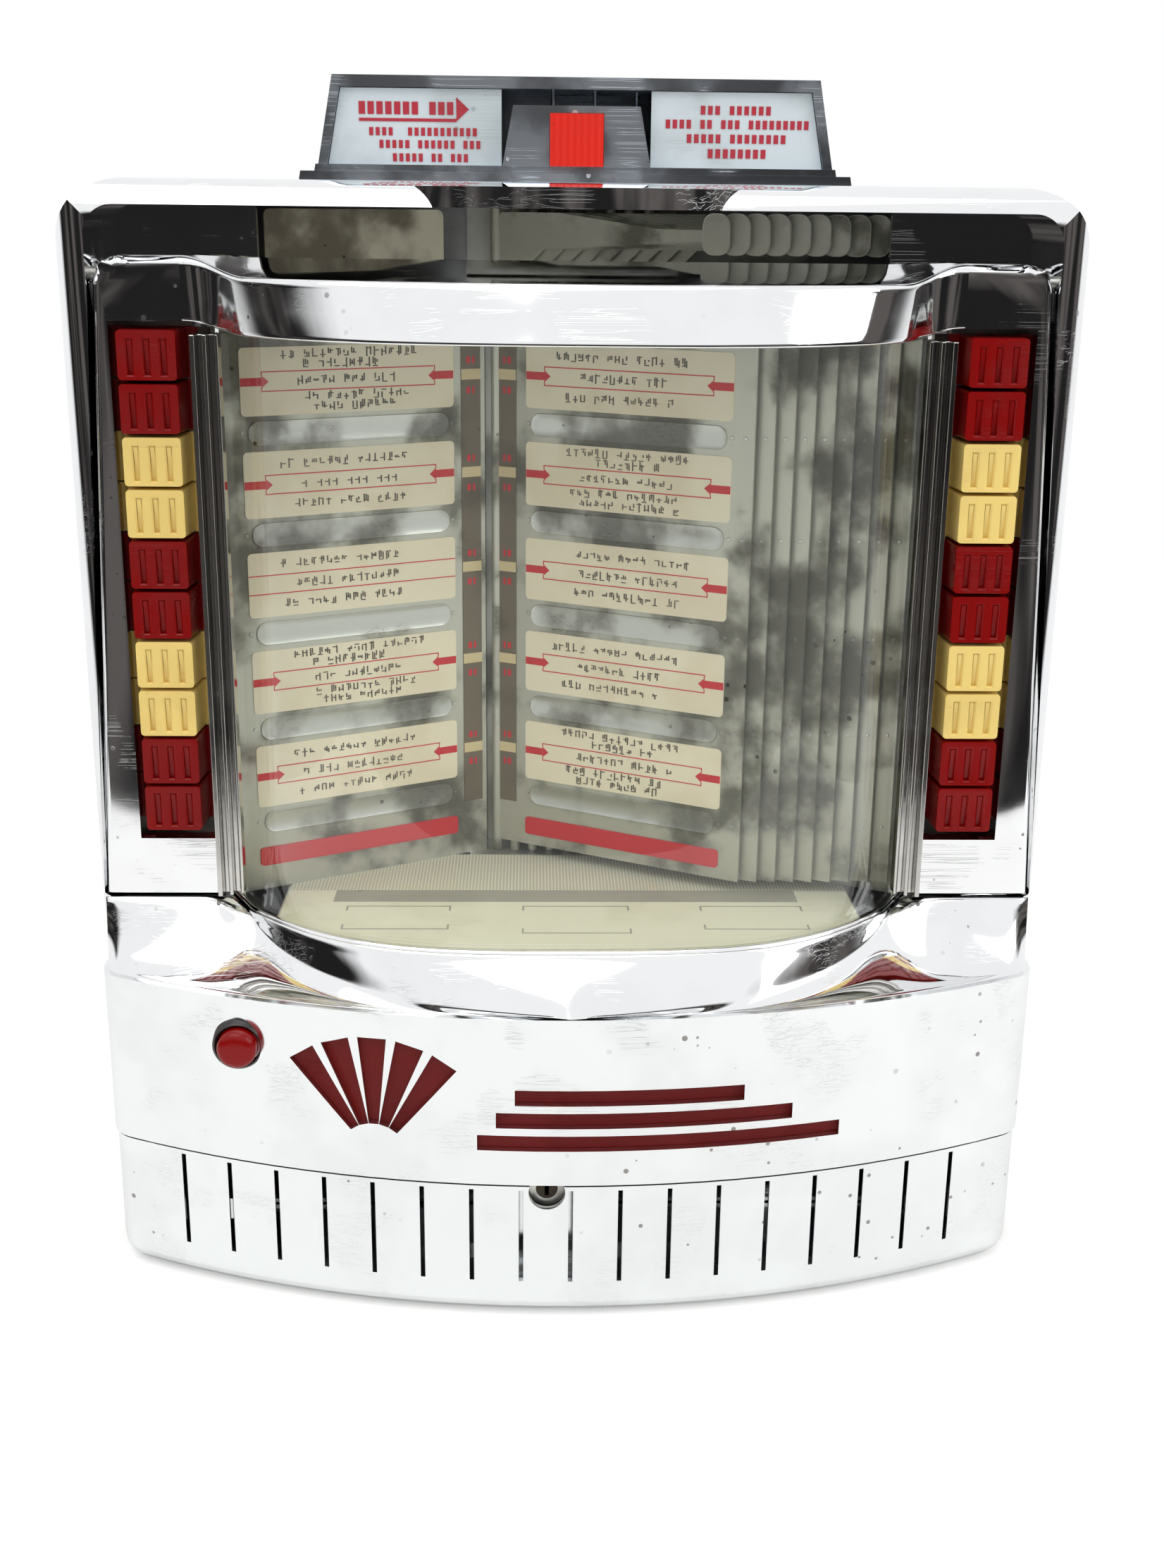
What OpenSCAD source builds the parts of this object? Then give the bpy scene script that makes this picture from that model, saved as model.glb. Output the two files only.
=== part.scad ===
/* [Casing] */
// Width of the chromed casing
casing_w = 312; // [300:1:330]
// Height of the casing without the sign
casing_h = 355; // [352:1:360]
// Depth from the wall to the middle of the chin
body_d = 176; // [170:1:190]
// Wall thickness of the casing
casing_wall = 2.5; // [2:0.1:3.5]
// Radius of the casing's corners, seen from the front
casing_corner_r = 22; // [14:1:28]
// Radius of the casing's rounded front edge
casing_edge_r = 11; // [6:0.5:11]
// Depth of the hooded rim in front of the recessed wall
rim_depth = 18; // [16:0.5:22]
// Thickness of the steel plate that closes the back
back_plate_t = 3; // [2:0.5:5]

/* [Door] */
// Height of the door's top edge
door_top_z = 333; // [331:0.5:334]
// How far the door's top edge is inside the casing, at each side
door_top_inset = 11.4; // [11:0.1:14]
// How far the door's foot is inside the casing, at each side
door_foot_inset = 2.1; // [2:0.1:5]
// Height of the foot of the button columns' panels
frame_foot_z = 130; // [128:0.5:133]
// Thickness of the door's flat frame
frame_t = 11; // [9:0.5:11.5]
// Running gap between the door and the casing
door_gap = 0.6; // [0.4:0.1:1]
// Thickness of the visor's walls
visor_t = 3.2; // [2.4:0.1:3.6]
// Height of the visor's face below the door's top edge
visor_h = 20.5; // [18:0.5:21]
// Radius of the hinge pins
hinge_pin_r = 2; // [1.5:0.1:2.4]

/* [Window] */
// How far the glass bulges forward of its ends
bow_depth = 61.5; // [50:0.5:64]
// How far from the casing's side the bulge has its full depth
bow_inset = 34; // [30:0.5:38]
// How square the bulge is
bow_power = 3.36; // [3:0.02:3.6]
// Thickness of the glass
glass_t = 3; // [2.4:0.1:3.2]
// How far the glass reaches into its channels
glass_grip = 1.8; // [1:0.1:2.6]
// Gap between the glass and what holds it
glass_gap = 0.3; // [0.2:0.1:0.4]
// Width of each chromed glass channel
channel_w = 8; // [7:0.5:8]

/* [Chin] */
// Radius of the chin's curve in plan
chin_r = 345; // [335:1:360]
// Radius of the chin's corners in plan
chin_corner_r = 12; // [11:0.5:14]
// Height of the ridge between chin and sill
ridge_z = 108; // [105:0.5:110]
// Height of the seam between chin and slotted panel
seam_z = 49.4; // [46:0.2:52]
// Thickness of the chin's wall
chin_t = 2.5; // [2:0.1:3]
// How far the slotted panel is set in behind the chin
panel_inset = 0.8; // [0.5:0.1:1.2]
// Height of the glass foot on the sill
glass_foot_z = 125.5; // [124:0.5:127]
// Number of slots in the lower panel
slot_count = 17; // [9:2:17]
// Distance from slot to slot
slot_pitch = 16; // [14:0.5:16.5]
// Width of a slot
slot_w = 1.5; // [1:0.1:2]
// Radius with which the lower panel rolls under
roll_r = 9; // [6:0.5:9]

/* [Buttons] */
// Number of buttons in a column
key_count = 10; // [6:1:10]
// Distance from button to button
key_pitch = 16; // [15:0.1:16.2]
// Height of the top button's centre
key_top_z = 304; // [303:0.1:304.4]
// Distance of a column's middle from the casing's side
key_inset = 26.5; // [26:0.1:27]
// Width of a cap's front face
cap_w = 17.8; // [16:0.1:18.4]
// Depth of a cap in front of its flange
cap_d = 14.5; // [11:0.5:16]
// Draft on each side of a cap
cap_draft = 0.9; // [0.4:0.1:1.2]
// Gap between neighbouring caps at their flanges
key_gap = 0.6; // [0.4:0.1:1]
// Travel of a button
key_travel = 4.5; // [3:0.5:4.5]
// Thickness across a button's square stem
stem_w = 6; // [4:0.5:7]
// Clearance of the stem in its guide
stem_gap = 0.15; // [0.1:0.05:0.3]
// Radius of the round push button on the chin
push_r = 6.35; // [5:0.05:7]
// Travel of the round push button
push_travel = 4; // [2:0.5:5]

/* [Pages] */
// Number of page leaves
leaf_count = 9; // [5:1:9]
// Distance between the leaves' pivots
leaf_pitch = 6.35; // [5.8:0.05:6.35]
// Room that a leaf leaves at the side of the casing
leaf_side_room = 42; // [42:0.5:52]
// Room between a turning leaf and the glass
leaf_front_room = 4.3; // [4:0.1:12]
// Height of a leaf's lower edge
leaf_foot_z = 126.5; // [125:0.5:128]
// Height of a leaf's upper edge
leaf_top_z = 322; // [300:1:324]
// Thickness of a leaf
leaf_t = 1; // [0.8:0.1:1.6]
// Angle of a leaf at rest to the front of the box
leaf_rest_angle = 28.5; // [26:0.5:34]
// Radius of a leaf's pivot pin
leaf_pin_r = 1.25; // [1:0.05:1.4]
// Radial clearance of the pivot pins
leaf_pin_gap = 0.05; // [0.03:0.01:0.1]
// Width of a finger tab
tab_w = 9; // [7:0.5:9]
// Height of a finger tab
tab_h = 12.5; // [10:0.5:12.5]

/* [Sign] */
// Width of the sign at its foot
sign_w = 156; // [140:1:160]
// Height of the sign above its pedestal
sign_h = 25.4; // [22:0.2:30]
// Depth of the sign and its hood
sign_d = 86; // [80:1:90]
// Wall thickness of the sign's frame
sign_t = 2.8; // [2:0.1:3.2]
// Height of the stepped pedestal
pedestal_h = 4.6; // [4:0.1:6]
// Height of the coin block
coin_block_h = 17.2; // [15:0.1:17.6]
// Width of the coin block at its foot
coin_block_w = 44.6; // [40:0.2:48]

/* [Wall fixing] */
// Distance between the wall bolts, side to side
bolt_span_x = 203.2; // [180:0.2:220]
// Distance between the wall bolts, up and down
bolt_span_z = 152.4; // [120:0.2:180]
// Radius of the wall bolt holes
bolt_hole_r = 3.2; // [2.5:0.1:5]
// Radius of the cable gland's bore
gland_bore_r = 5.5; // [4:0.1:7]

/* [Hidden] */
$fn = 96;
back_y = body_d / 2;
chin_front_y = -body_d / 2;
casing_front_y = chin_front_y + 48;
casing_half = casing_w / 2;
key_x = casing_half - key_inset;
bow_half = casing_half - bow_inset;
recess_y = casing_front_y + rim_depth;
front_wall_t = 2.5;
rim_under_z = casing_h - 7.5;
door_front_y = casing_front_y + 4;
door_back_y = door_front_y + frame_t;
door_corner_r = 9;
frame_z = door_top_z - frame_foot_z;
tab_opening_half = casing_half - 59;

bow_front_y = chin_front_y + 15.5;
glass_foot = glass_foot_z - 2;
shelf_z = door_top_z - 3;
glass_top_z = shelf_z - 0.2;
channel_out_x = key_x - 13.3;
channel_in_x = channel_out_x - channel_w;
glass_half = channel_in_x + glass_grip;
slot_in_x = channel_out_x + 0.3;
slot_out_x = key_x + 11.5;
key_slot_top_z = key_top_z + key_pitch / 2 + 2;
key_slot_foot_z = key_top_z - (key_count - 0.5) * key_pitch - 3;
visor_foot_z = door_top_z - visor_h;
side_foot_z = key_slot_top_z - 1.5;

hinge_y = door_front_y + frame_t / 2;
hinge_z = door_top_z - 5.5;
hinge_pin_gap = 0.05;
hinge_pin_in_x = casing_half - door_top_inset - 6;
hinge_pin_l = 13;

chin_half = casing_half - 2;
chin_cy = chin_front_y + chin_r;
chin_corner_x = chin_half - chin_corner_r;
chin_angle = asin(chin_corner_x / (chin_r - chin_corner_r));
chin_corner_y = chin_cy - (chin_r - chin_corner_r) * cos(chin_angle);
chin_back_y = casing_front_y - door_gap;
chin_foot_z = seam_z + 0.4;
panel_top_z = seam_z - 0.6;
sill_gap = 0.3;

key_z = [for (i = [0 : key_count - 1]) key_top_z - i * key_pitch];
cap_h = key_pitch - 1.2;
cap_front_y = door_front_y - 2;
flange_y = cap_front_y + cap_d;
flange_t = 3;
flange_half = 12.7;
guide_y = flange_y + flange_t + key_travel + 4;
guide_t = 2;
stem_end_y = guide_y + guide_t + 4;

leaf_pivot_y = back_y - 58;
leaf_x = [for (i = [0 : leaf_count - 1]) (i - (leaf_count - 1) / 2) * leaf_pitch];
end_page_x = -leaf_x[0] + 5;
leaf_w = min((casing_half - leaf_side_room - end_page_x) / cos(leaf_rest_angle),
             leaf_pivot_y - bow_front_y - glass_t - leaf_front_room);
rack_t = 2.5;
rack_low_z = leaf_foot_z - 4.5;
rack_high_z = casing_h - casing_wall - 4;
rack_back_y = leaf_pivot_y + 12;
rack_wall_t = 2;
tab_z = door_top_z + 1;
tab_s = leaf_w - 11 - tab_w;
arm_z = rim_under_z - 1.5;

chassis_y = rack_back_y + rack_wall_t;
chassis_t = 2;
inner_half = casing_half - casing_wall;
chassis_half = inner_half - 0.1;

pedestal_z = casing_h + pedestal_h;
sign_front_y = chin_front_y + 68;
sign_back_y = sign_front_y + sign_d;
sign_top_z = pedestal_z + sign_h;
sign_slope = 4.8 / 25.4;
sign_half = sign_w / 2;
coin_block_top_z = pedestal_z + coin_block_h;
chute_y = chassis_y + chassis_t + 3;
chute_half = 17;
chute_d = 8;
chute_foot_z = 62;
sheet_t = 1.2;

lock_x = -slot_pitch / 2 + 0.3;
lock_z = seam_z - 3.4;
lock_r = 5.9;
plug_r = 3.5;
plug_gap = 0.05;
lock_front_y = chin_front_y + chin_t + 2.4;
cam_y = lock_front_y + 23.4;

push_x = 47.5 - chin_half;
push_z = ridge_z - 16.1;
push_front_y = chin_cy - sqrt(chin_r * chin_r - push_x * push_x) - 6.8;
push_gap = 0.15;

scan_x = 72 - casing_half;
scan_z = 205;
scan_shaft_r = 2;
scan_gap = 0.05;
motor_r = 20;
motor_l = 16;
disc_y = chassis_y + chassis_t + 12;
disc_t = 3;
gland_x = casing_half - 66;
gland_z = 62;

// ---- placing helpers ----

// Extrudes a shape drawn in front view (x, z) between two depths
module from_front(y0, y1) {
    translate([0, y1, 0]) rotate([90, 0, 0]) linear_extrude(y1 - y0) children();
}

// Extrudes a shape drawn in side view (y, z) between two places across
module from_side(x0, x1) {
    translate([x0, 0, 0]) rotate([90, 0, 90]) linear_extrude(x1 - x0) children();
}

module span(from, to) {
    translate(from) cube(to - from);
}

module both_sides() {
    children();
    mirror([1, 0, 0]) children();
}

// Rectangle with round corners, of true arcs
module round_rect(from, to, r) {
    translate(from + [r, 0]) square([to.x - from.x - 2 * r, to.y - from.y]);
    translate(from + [0, r]) square([to.x - from.x, to.y - from.y - 2 * r]);
    for (x = [from.x + r, to.x - r], y = [from.y + r, to.y - r]) translate([x, y]) circle(r);
}

module rod_y(x, z, y0, y1, r) {
    translate([x, y1, z]) rotate([90, 0, 0]) cylinder(h = y1 - y0, r = r);
}

// ---- outlines ----

// The glass's bulge in plan, and points at a distance t outside it
function bow_y(x) = bow_front_y + bow_depth * pow(abs(x) / bow_half, bow_power);
function bow_slope(x) =
    sign(x) * bow_depth * bow_power / bow_half * pow(abs(x) / bow_half, bow_power - 1);
function bow_point(x, t) =
    let (m = bow_slope(x), n = sqrt(1 + m * m)) [x + t * m / n, bow_y(x) - t / n];
function bow_line(half, t, steps = 36) =
    [for (i = [0 : steps]) bow_point(half * (2 * i / steps - 1), t)];
function backwards(list) = [for (i = [len(list) - 1 : -1 : 0]) list[i]];

module bow_band(half, t_out, t_in) {
    polygon(concat(bow_line(half, t_out), backwards(bow_line(half, t_in))));
}

// Half the door's width at a height
function door_half(z) =
    casing_half - door_top_inset + (door_top_inset - door_foot_inset) * (door_top_z - z) / frame_z;

// The door's outline from the front, grown by a gap
module door_outline(gap, foot_z) {
    top_z = door_top_z + gap;
    r = door_corner_r + gap;
    polygon([[-door_half(foot_z) - gap, foot_z], [door_half(foot_z) + gap, foot_z],
             [door_half(top_z - r) + gap, top_z - r], [door_half(top_z) + gap - r, top_z - r],
             [door_half(top_z) + gap - r, top_z], [-door_half(top_z) - gap + r, top_z],
             [-door_half(top_z) - gap + r, top_z - r], [-door_half(top_z - r) - gap, top_z - r]]);
    for (side = [-1, 1]) translate([side * (door_half(top_z - r) + gap - r), top_z - r]) circle(r);
}

// Points along the chin's plan outline, at a distance inside it, facing an angle
function chin_point(a, inset) = abs(a) <= chin_angle
    ? [0, chin_cy] + (chin_r - inset) * [sin(a), -cos(a)]
    : [sign(a) * chin_corner_x, chin_corner_y] + (chin_corner_r - inset) * [sin(a), -cos(a)];
chin_angles = concat([for (i = [0 : 4]) chin_angle + (90 - chin_angle) * (1 - i / 5)],
                     [for (i = [0 : 28]) chin_angle * (1 - i / 14)],
                     [for (i = [1 : 5]) -chin_angle - (90 - chin_angle) * i / 5]);
function chin_line(inset) = concat([[chin_half - inset, chin_back_y]],
                                   [for (a = chin_angles) chin_point(a, inset)],
                                   [[inset - chin_half, chin_back_y]]);

module chin_band(outer, inner) {
    polygon(concat(chin_line(outer), backwards(chin_line(inner))));
}

// Front edge of the sill in plan, just inside the chin's wall
function sill_front_y(x) =
    let (t = chin_t + sill_gap, reach = (chin_r - t) * sin(chin_angle))
    abs(x) < reach ? chin_cy - sqrt(pow(chin_r - t, 2) - x * x)
                   : chin_corner_y - sqrt(max(0, pow(chin_corner_r - t, 2) - pow(abs(x) - chin_corner_x, 2)));

// ---- casing and wall plate ----

module casing_shell() difference() {
    intersection() {
        from_front(casing_front_y, back_y)
            round_rect([-casing_half, 0], [casing_half, casing_h], casing_corner_r);
        linear_extrude(casing_h)
            round_rect([-casing_half, casing_front_y], [casing_half, back_y + 2 * casing_edge_r], casing_edge_r);
        from_side(-casing_half, casing_half)
            round_rect([casing_front_y, -2 * casing_edge_r], [back_y + 2 * casing_edge_r, casing_h],
                       casing_edge_r);
    }
    // inside, open at the back
    from_front(recess_y + front_wall_t, back_y + 1)
        round_rect([-inner_half, casing_wall], [inner_half, casing_h - casing_wall],
                   casing_corner_r - casing_wall);
    // recess that the door closes into, and the groove above it
    from_front(casing_front_y - 1, recess_y) {
        door_outline(door_gap, frame_foot_z - door_gap);
        round_rect([-casing_half + 4, casing_wall], [casing_half - 4, frame_foot_z + 10], 6);
        round_rect([-door_half(door_top_z) - 1, door_top_z - 30], [door_half(door_top_z) + 1, rim_under_z],
                   door_corner_r);
    }
    // openings of the recessed wall: finger tabs above, works below
    from_front(recess_y - 1, recess_y + front_wall_t + 1) {
        translate([-tab_opening_half, leaf_top_z])
            square([2 * tab_opening_half, rim_under_z - leaf_top_z]);
        translate([1 - door_half(door_top_z), casing_wall + 4])
            square([2 * door_half(door_top_z) - 2, leaf_top_z - casing_wall - 2]);
    }
    // passage of the coin chute
    span([-chute_half - 0.6, chute_y - 9, casing_h - casing_wall - 1],
         [chute_half + 0.6, chute_y + chute_d + 0.6, casing_h + 1]);
    both_sides() translate([hinge_pin_in_x, hinge_y, hinge_z]) rotate([0, 90, 0])
        cylinder(h = hinge_pin_l + 0.2, r = hinge_pin_r + 0.02);
}

// Brow over the finger groove, under the sign
module brow() {
    brow_r = 70;
    brow_out = 14;
    difference() {
        translate([0, casing_front_y - brow_out + brow_r, rim_under_z])
            cylinder(h = casing_h - rim_under_z - 1.5, r = brow_r);
        span([-brow_r, casing_front_y + 6, rim_under_z - 1], [brow_r, brow_r + 30, casing_h + 1]);
    }
}

module casing() color("gainsboro") {
    casing_shell();
    brow();
}

module back_plate() color("slategray") difference() {
    from_front(back_y - back_plate_t, back_y)
        round_rect([-inner_half + 0.3, casing_wall + 0.3], [inner_half - 0.3, casing_h - casing_wall - 0.3],
                   casing_corner_r - casing_wall);
    for (x = [-1, 1], z = [-1, 1])
        rod_y(x * bolt_span_x / 2, casing_h / 2 + z * bolt_span_z / 2, back_y - back_plate_t - 1,
              back_y + 1, bolt_hole_r);
    rod_y(gland_x, gland_z, back_y - back_plate_t - 1, back_y + 1, gland_bore_r + 3.5);
}

module cable_gland() color("dimgray") difference() {
    union() {
        rod_y(gland_x, gland_z, back_y - back_plate_t - 6, back_y, gland_bore_r + 3.45);
        rod_y(gland_x, gland_z, back_y - back_plate_t - 3, back_y - back_plate_t, gland_bore_r + 7);
    }
    rod_y(gland_x, gland_z, back_y - back_plate_t - 7, back_y + 1, gland_bore_r);
}

module chassis_plate() color("silver") {
    top_z = casing_h - casing_wall - 0.1;
    corner = casing_corner_r - casing_wall;
    difference() {
        from_front(chassis_y, chassis_y + chassis_t) round_rect([-chassis_half, 66], [chassis_half, top_z], corner);
        rod_y(gland_x - 30, gland_z + 50, chassis_y - 1, chassis_y + chassis_t + 1, 9);
    }
    both_sides() span([chassis_half - 1.5, chassis_y, 66 + corner], [chassis_half, chassis_y + 14, top_z - corner]);
}

// ---- sign with the coin entry ----

module sign_face(half, foot_z, top_z) {
    slope = sign_slope * (top_z - foot_z);
    polygon([[-half, foot_z], [half, foot_z], [half - slope, top_z], [-half + slope, top_z]]);
}

module sign_hood() color("gainsboro") difference() {
    union() {
        from_front(sign_front_y - 4, sign_back_y)
            sign_face(sign_half + 5.5, casing_h, casing_h + pedestal_h * 0.56);
        from_front(sign_front_y - 2, sign_back_y) sign_face(sign_half + 1.5, casing_h, pedestal_z);
        from_front(sign_front_y, sign_back_y) sign_face(sign_half, pedestal_z, sign_top_z);
    }
    from_front(sign_front_y - 5, sign_back_y - sign_t)
        sign_face(sign_half - sign_t, pedestal_z, sign_top_z - sign_t - 0.6);
    span([-chute_half - 0.6, chute_y - 9, casing_h - 1], [chute_half + 0.6, chute_y + chute_d + 0.6, pedestal_z + 1]);
}

module sign_windows() color("mintcream")
    both_sides() from_front(sign_front_y + 1.6, sign_front_y + 3.2) difference() {
        sign_face(sign_half - sign_t - 0.2, pedestal_z, sign_top_z - sign_t - 0.8);
        translate([-sign_half, pedestal_z - 1]) square([sign_half + coin_block_w / 2 + 0.3, sign_h + 2]);
    }

module coin_block() color("gray") {
    difference() {
        from_front(sign_front_y - 4, sign_front_y + 8) sign_face(coin_block_w / 2, pedestal_z, coin_block_top_z);
        span([-8.2, sign_front_y - 5, pedestal_z - 1], [8.2, sign_front_y - 1.8, coin_block_top_z - 2]);
    }
    // guide wires behind the mouth
    for (x = [-7, 6, 19])
        translate([x, sign_front_y + 16, pedestal_z]) cylinder(h = sign_h - sign_t - 0.6, r = 0.7, $fn = 24);
}

module coin_insert() color("red") difference() {
    span([-8, sign_front_y - 6, pedestal_z], [8, sign_front_y - 2, coin_block_top_z - 2.2]);
    for (i = [-3 : 4])
        translate([(i - 0.5) * 2.1, sign_front_y - 6.7, pedestal_z - 1])
            cylinder(h = coin_block_h + 2, r = 1.05, $fn = 24);
}

module sign_lamp() color("khaki") {
    translate([-50, sign_front_y + 24, pedestal_z]) cylinder(h = 7, r = 6);
    translate([-50, sign_front_y + 24, pedestal_z + 12]) sphere(r = 7);
}

module coin_chute() color("lightsteelblue") {
    tray_half = chute_half - 2;
    // sloping tray behind the coin block
    difference() {
        from_side(-chute_half, chute_half)
            polygon([[sign_front_y + 18, pedestal_z + 14], [chute_y + chute_d, pedestal_z + 6],
                     [chute_y + chute_d, pedestal_z - 2.5], [chute_y, pedestal_z - 2.5],
                     [chute_y, pedestal_z + 0.5], [sign_front_y + 18, pedestal_z + 7]]);
        from_side(-tray_half, tray_half)
            polygon([[sign_front_y + 17, pedestal_z + 16], [chute_y + chute_d - sheet_t, pedestal_z + 8],
                     [chute_y + chute_d - sheet_t, pedestal_z - 5], [chute_y + sheet_t, pedestal_z - 5],
                     [chute_y + sheet_t, pedestal_z + 2], [sign_front_y + 17, pedestal_z + 8.6]]);
    }
    // drop channel to the cash box
    difference() {
        span([-chute_half, chute_y, chute_foot_z], [chute_half, chute_y + chute_d, pedestal_z - 2]);
        span([-tray_half, chute_y + sheet_t, chute_foot_z - 1],
             [tray_half, chute_y + chute_d - sheet_t, pedestal_z]);
    }
    // feet on the chassis plate
    for (z = [100, 300]) span([-12, chassis_y + chassis_t, z], [12, chute_y, z + 12]);
}

module cash_box() color("darkkhaki") difference() {
    span([-70, -14, casing_wall], [70, chute_y + chute_d + 6, 58]);
    span([-70 + sheet_t, -14 + sheet_t, casing_wall + sheet_t], [70 - sheet_t, chute_y + chute_d + 6 - sheet_t, 59]);
}

// ---- door ----

module door_side() {
    difference() {
        intersection() {
            from_front(door_front_y, door_back_y) door_outline(0, frame_foot_z);
            union() {
                span([slot_in_x, door_front_y, frame_foot_z], [chin_half, door_back_y, door_top_z]);
                span([channel_in_x - 1.2, door_front_y, side_foot_z], [chin_half, door_back_y, door_top_z]);
            }
        }
        span([slot_in_x - 1, door_front_y - 1, key_slot_foot_z], [slot_out_x, door_back_y + 1, key_slot_top_z]);
        translate([hinge_pin_in_x - 1, hinge_y, hinge_z]) rotate([0, 90, 0])
            cylinder(h = 20, r = hinge_pin_r + hinge_pin_gap);
    }
}

module door_frame() color("gainsboro") difference() {
    union() {
        both_sides() door_side();
        // visor: a shelf over the glass and a face in front of it
        translate([0, 0, shelf_z]) linear_extrude(door_top_z - shelf_z)
            polygon(concat([[-bow_point(channel_in_x, 0.5).x - 6, door_back_y]],
                           bow_line(channel_in_x, 0.5 + visor_t),
                           [[bow_point(channel_in_x, 0.5).x + 6, door_back_y]]));
        translate([0, 0, visor_foot_z]) linear_extrude(door_top_z - visor_foot_z)
            bow_band(channel_in_x + 2, 0.5 + visor_t, 0.5);
    }
    translate([0, 0, glass_foot]) linear_extrude(shelf_z - glass_foot)
        bow_band(glass_half + 1, 0.45, -glass_t - glass_gap);
}

module window_glass() color("lightcyan", 0.35)
    translate([0, 0, glass_foot]) linear_extrude(glass_top_z - glass_foot) bow_band(glass_half, 0, -glass_t);

module glass_channels() color("gainsboro") both_sides() difference() {
    translate([0, 0, frame_foot_z]) linear_extrude(visor_foot_z - 0.2 - frame_foot_z)
        round_rect([channel_in_x, door_front_y - 4], [channel_out_x, door_back_y - 1], 2.5);
    translate([0, 0, frame_foot_z - 1]) linear_extrude(frame_z) bow_band(glass_half + 0.6, glass_gap, -glass_t - glass_gap);
}

// Heights of the sill: where the ears meet the collar, and the collar's top
function crest_y(x) = min(bow_y(x) - 15.5 + 0.1 * abs(x), door_front_y - 2);
function crest_z(x) = lookup(abs(x), [[0, ridge_z], [60, ridge_z + 2.9], [85, ridge_z + 6], [98, ridge_z + 9],
                                      [108, ridge_z + 15], [118, frame_foot_z - 0.6], [chin_half, frame_foot_z - 0.6]]);
function collar_y(x) = min(bow_y(x) - 0.4, door_back_y);
function collar_z(x) = lookup(abs(x), [[0, glass_foot_z], [106, glass_foot_z], [115, frame_foot_z - 0.6],
                                       [chin_half, frame_foot_z - 0.6]]);

// Heights along one section of the sill, from the chin to the glass
function sill_section(x, ear_steps = 8, collar_steps = 4) = concat(
    [for (k = [0 : ear_steps]) let (w = k / ear_steps, y0 = sill_front_y(x), z1 = crest_z(x))
        [x, y0 + (crest_y(x) - y0) * w, ridge_z + (z1 - ridge_z) * pow(w, 1.7)]],
    [for (k = [1 : collar_steps]) let (w = k / collar_steps)
        [x, crest_y(x) + (collar_y(x) - crest_y(x)) * w,
         crest_z(x) + (collar_z(x) - crest_z(x)) * w + sin(180 * w) * max(0, 1 - abs(x) / bow_half)]]);

// Solid through a row of sections, each a strip of upper points and one of lower points
module loft(upper, lower) {
    columns = len(upper);
    rows = len(upper[0]);
    loop = 2 * rows;
    function at(i, j) = i * loop + j % loop;
    function quad(a, b, c, d) = [[a, b, c], [a, c, d]];
    polyhedron([for (i = [0 : columns - 1]) each concat(upper[i], backwards(lower[i]))], concat(
        [for (i = [0 : columns - 2], j = [0 : loop - 1])
            each quad(at(i, j), at(i, j + 1), at(i + 1, j + 1), at(i + 1, j))],
        [for (j = [0 : rows - 2]) each concat(
            quad(at(0, j + 1), at(0, j), at(0, loop - 1 - j), at(0, loop - 2 - j)),
            quad(at(columns - 1, j), at(columns - 1, j + 1),
                 at(columns - 1, loop - 2 - j), at(columns - 1, loop - 1 - j)))]));
}

module sill_casting() color("gainsboro") {
    half = chin_half - chin_t - sill_gap;
    columns = 56;
    upper = [for (i = [0 : columns]) sill_section(half * (2 * i / columns - 1))];
    lower = [for (section = upper) [for (p = section) [p.x, p.y, max(ridge_z - 3.5, p.z - 6)]]];
    loft(upper, lower);
}

// Cut-out ornament: a fan of rays and three stepped bars
module ornament_shape() {
    fan = [91 - chin_half, ridge_z - 50];
    bar_right_x = chin_half - 67;
    for (i = [-2 : 2]) translate(fan) rotate(i * 17) polygon([[-1.6, 11], [1.6, 11], [4.6, 41], [-4.6, 41]]);
    for (i = [0 : 2]) translate([6 * i - 30, ridge_z - 46 + 8 * i]) square([bar_right_x + 30 - 22 * i, 5.4]);
}

module chin_panel() color("whitesmoke") {
    difference() {
        translate([0, 0, chin_foot_z]) linear_extrude(ridge_z - 0.3 - chin_foot_z) chin_band(0, chin_t);
        from_front(chin_front_y - 5, chin_front_y + 30) ornament_shape();
        rod_y(push_x, push_z, chin_front_y, chin_front_y + 40, push_r + push_gap);
    }
    // catch that the lock's cam turns behind
    span([lock_x - 6, chin_front_y + chin_t - 0.6, lock_z + 8.2], [lock_x + 6, cam_y - 2.5, lock_z + 10.2]);
    span([lock_x - 6, cam_y - 4.5, lock_z + 9], [lock_x + 6, cam_y - 2.5, lock_z + 18]);
}

module ornament_inlay() color("darkred") intersection() {
    translate([0, 0, lock_z + 11]) linear_extrude(ridge_z - lock_z - 18) chin_band(chin_t + 0.2, chin_t + 1.2);
    span([-92, chin_front_y, 0], [92, 0, casing_h]);
}

module cancel_button() color("red") {
    inner_y = chin_cy - sqrt(pow(chin_r - chin_t, 2) - pow(push_x - push_r - 1.7, 2)) + 0.3;
    rod_y(push_x, push_z, push_front_y, inner_y + 1, push_r);
    rod_y(push_x, push_z, inner_y, inner_y + 2, push_r + 1.7);
    rod_y(push_x, push_z, inner_y + 1, inner_y + 16, 2.5);
}

module hinge_pins() color("silver") both_sides()
    translate([hinge_pin_in_x, hinge_y, hinge_z]) rotate([0, 90, 0]) cylinder(h = hinge_pin_l, r = hinge_pin_r);

// ---- slotted panel with the lock ----

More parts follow.
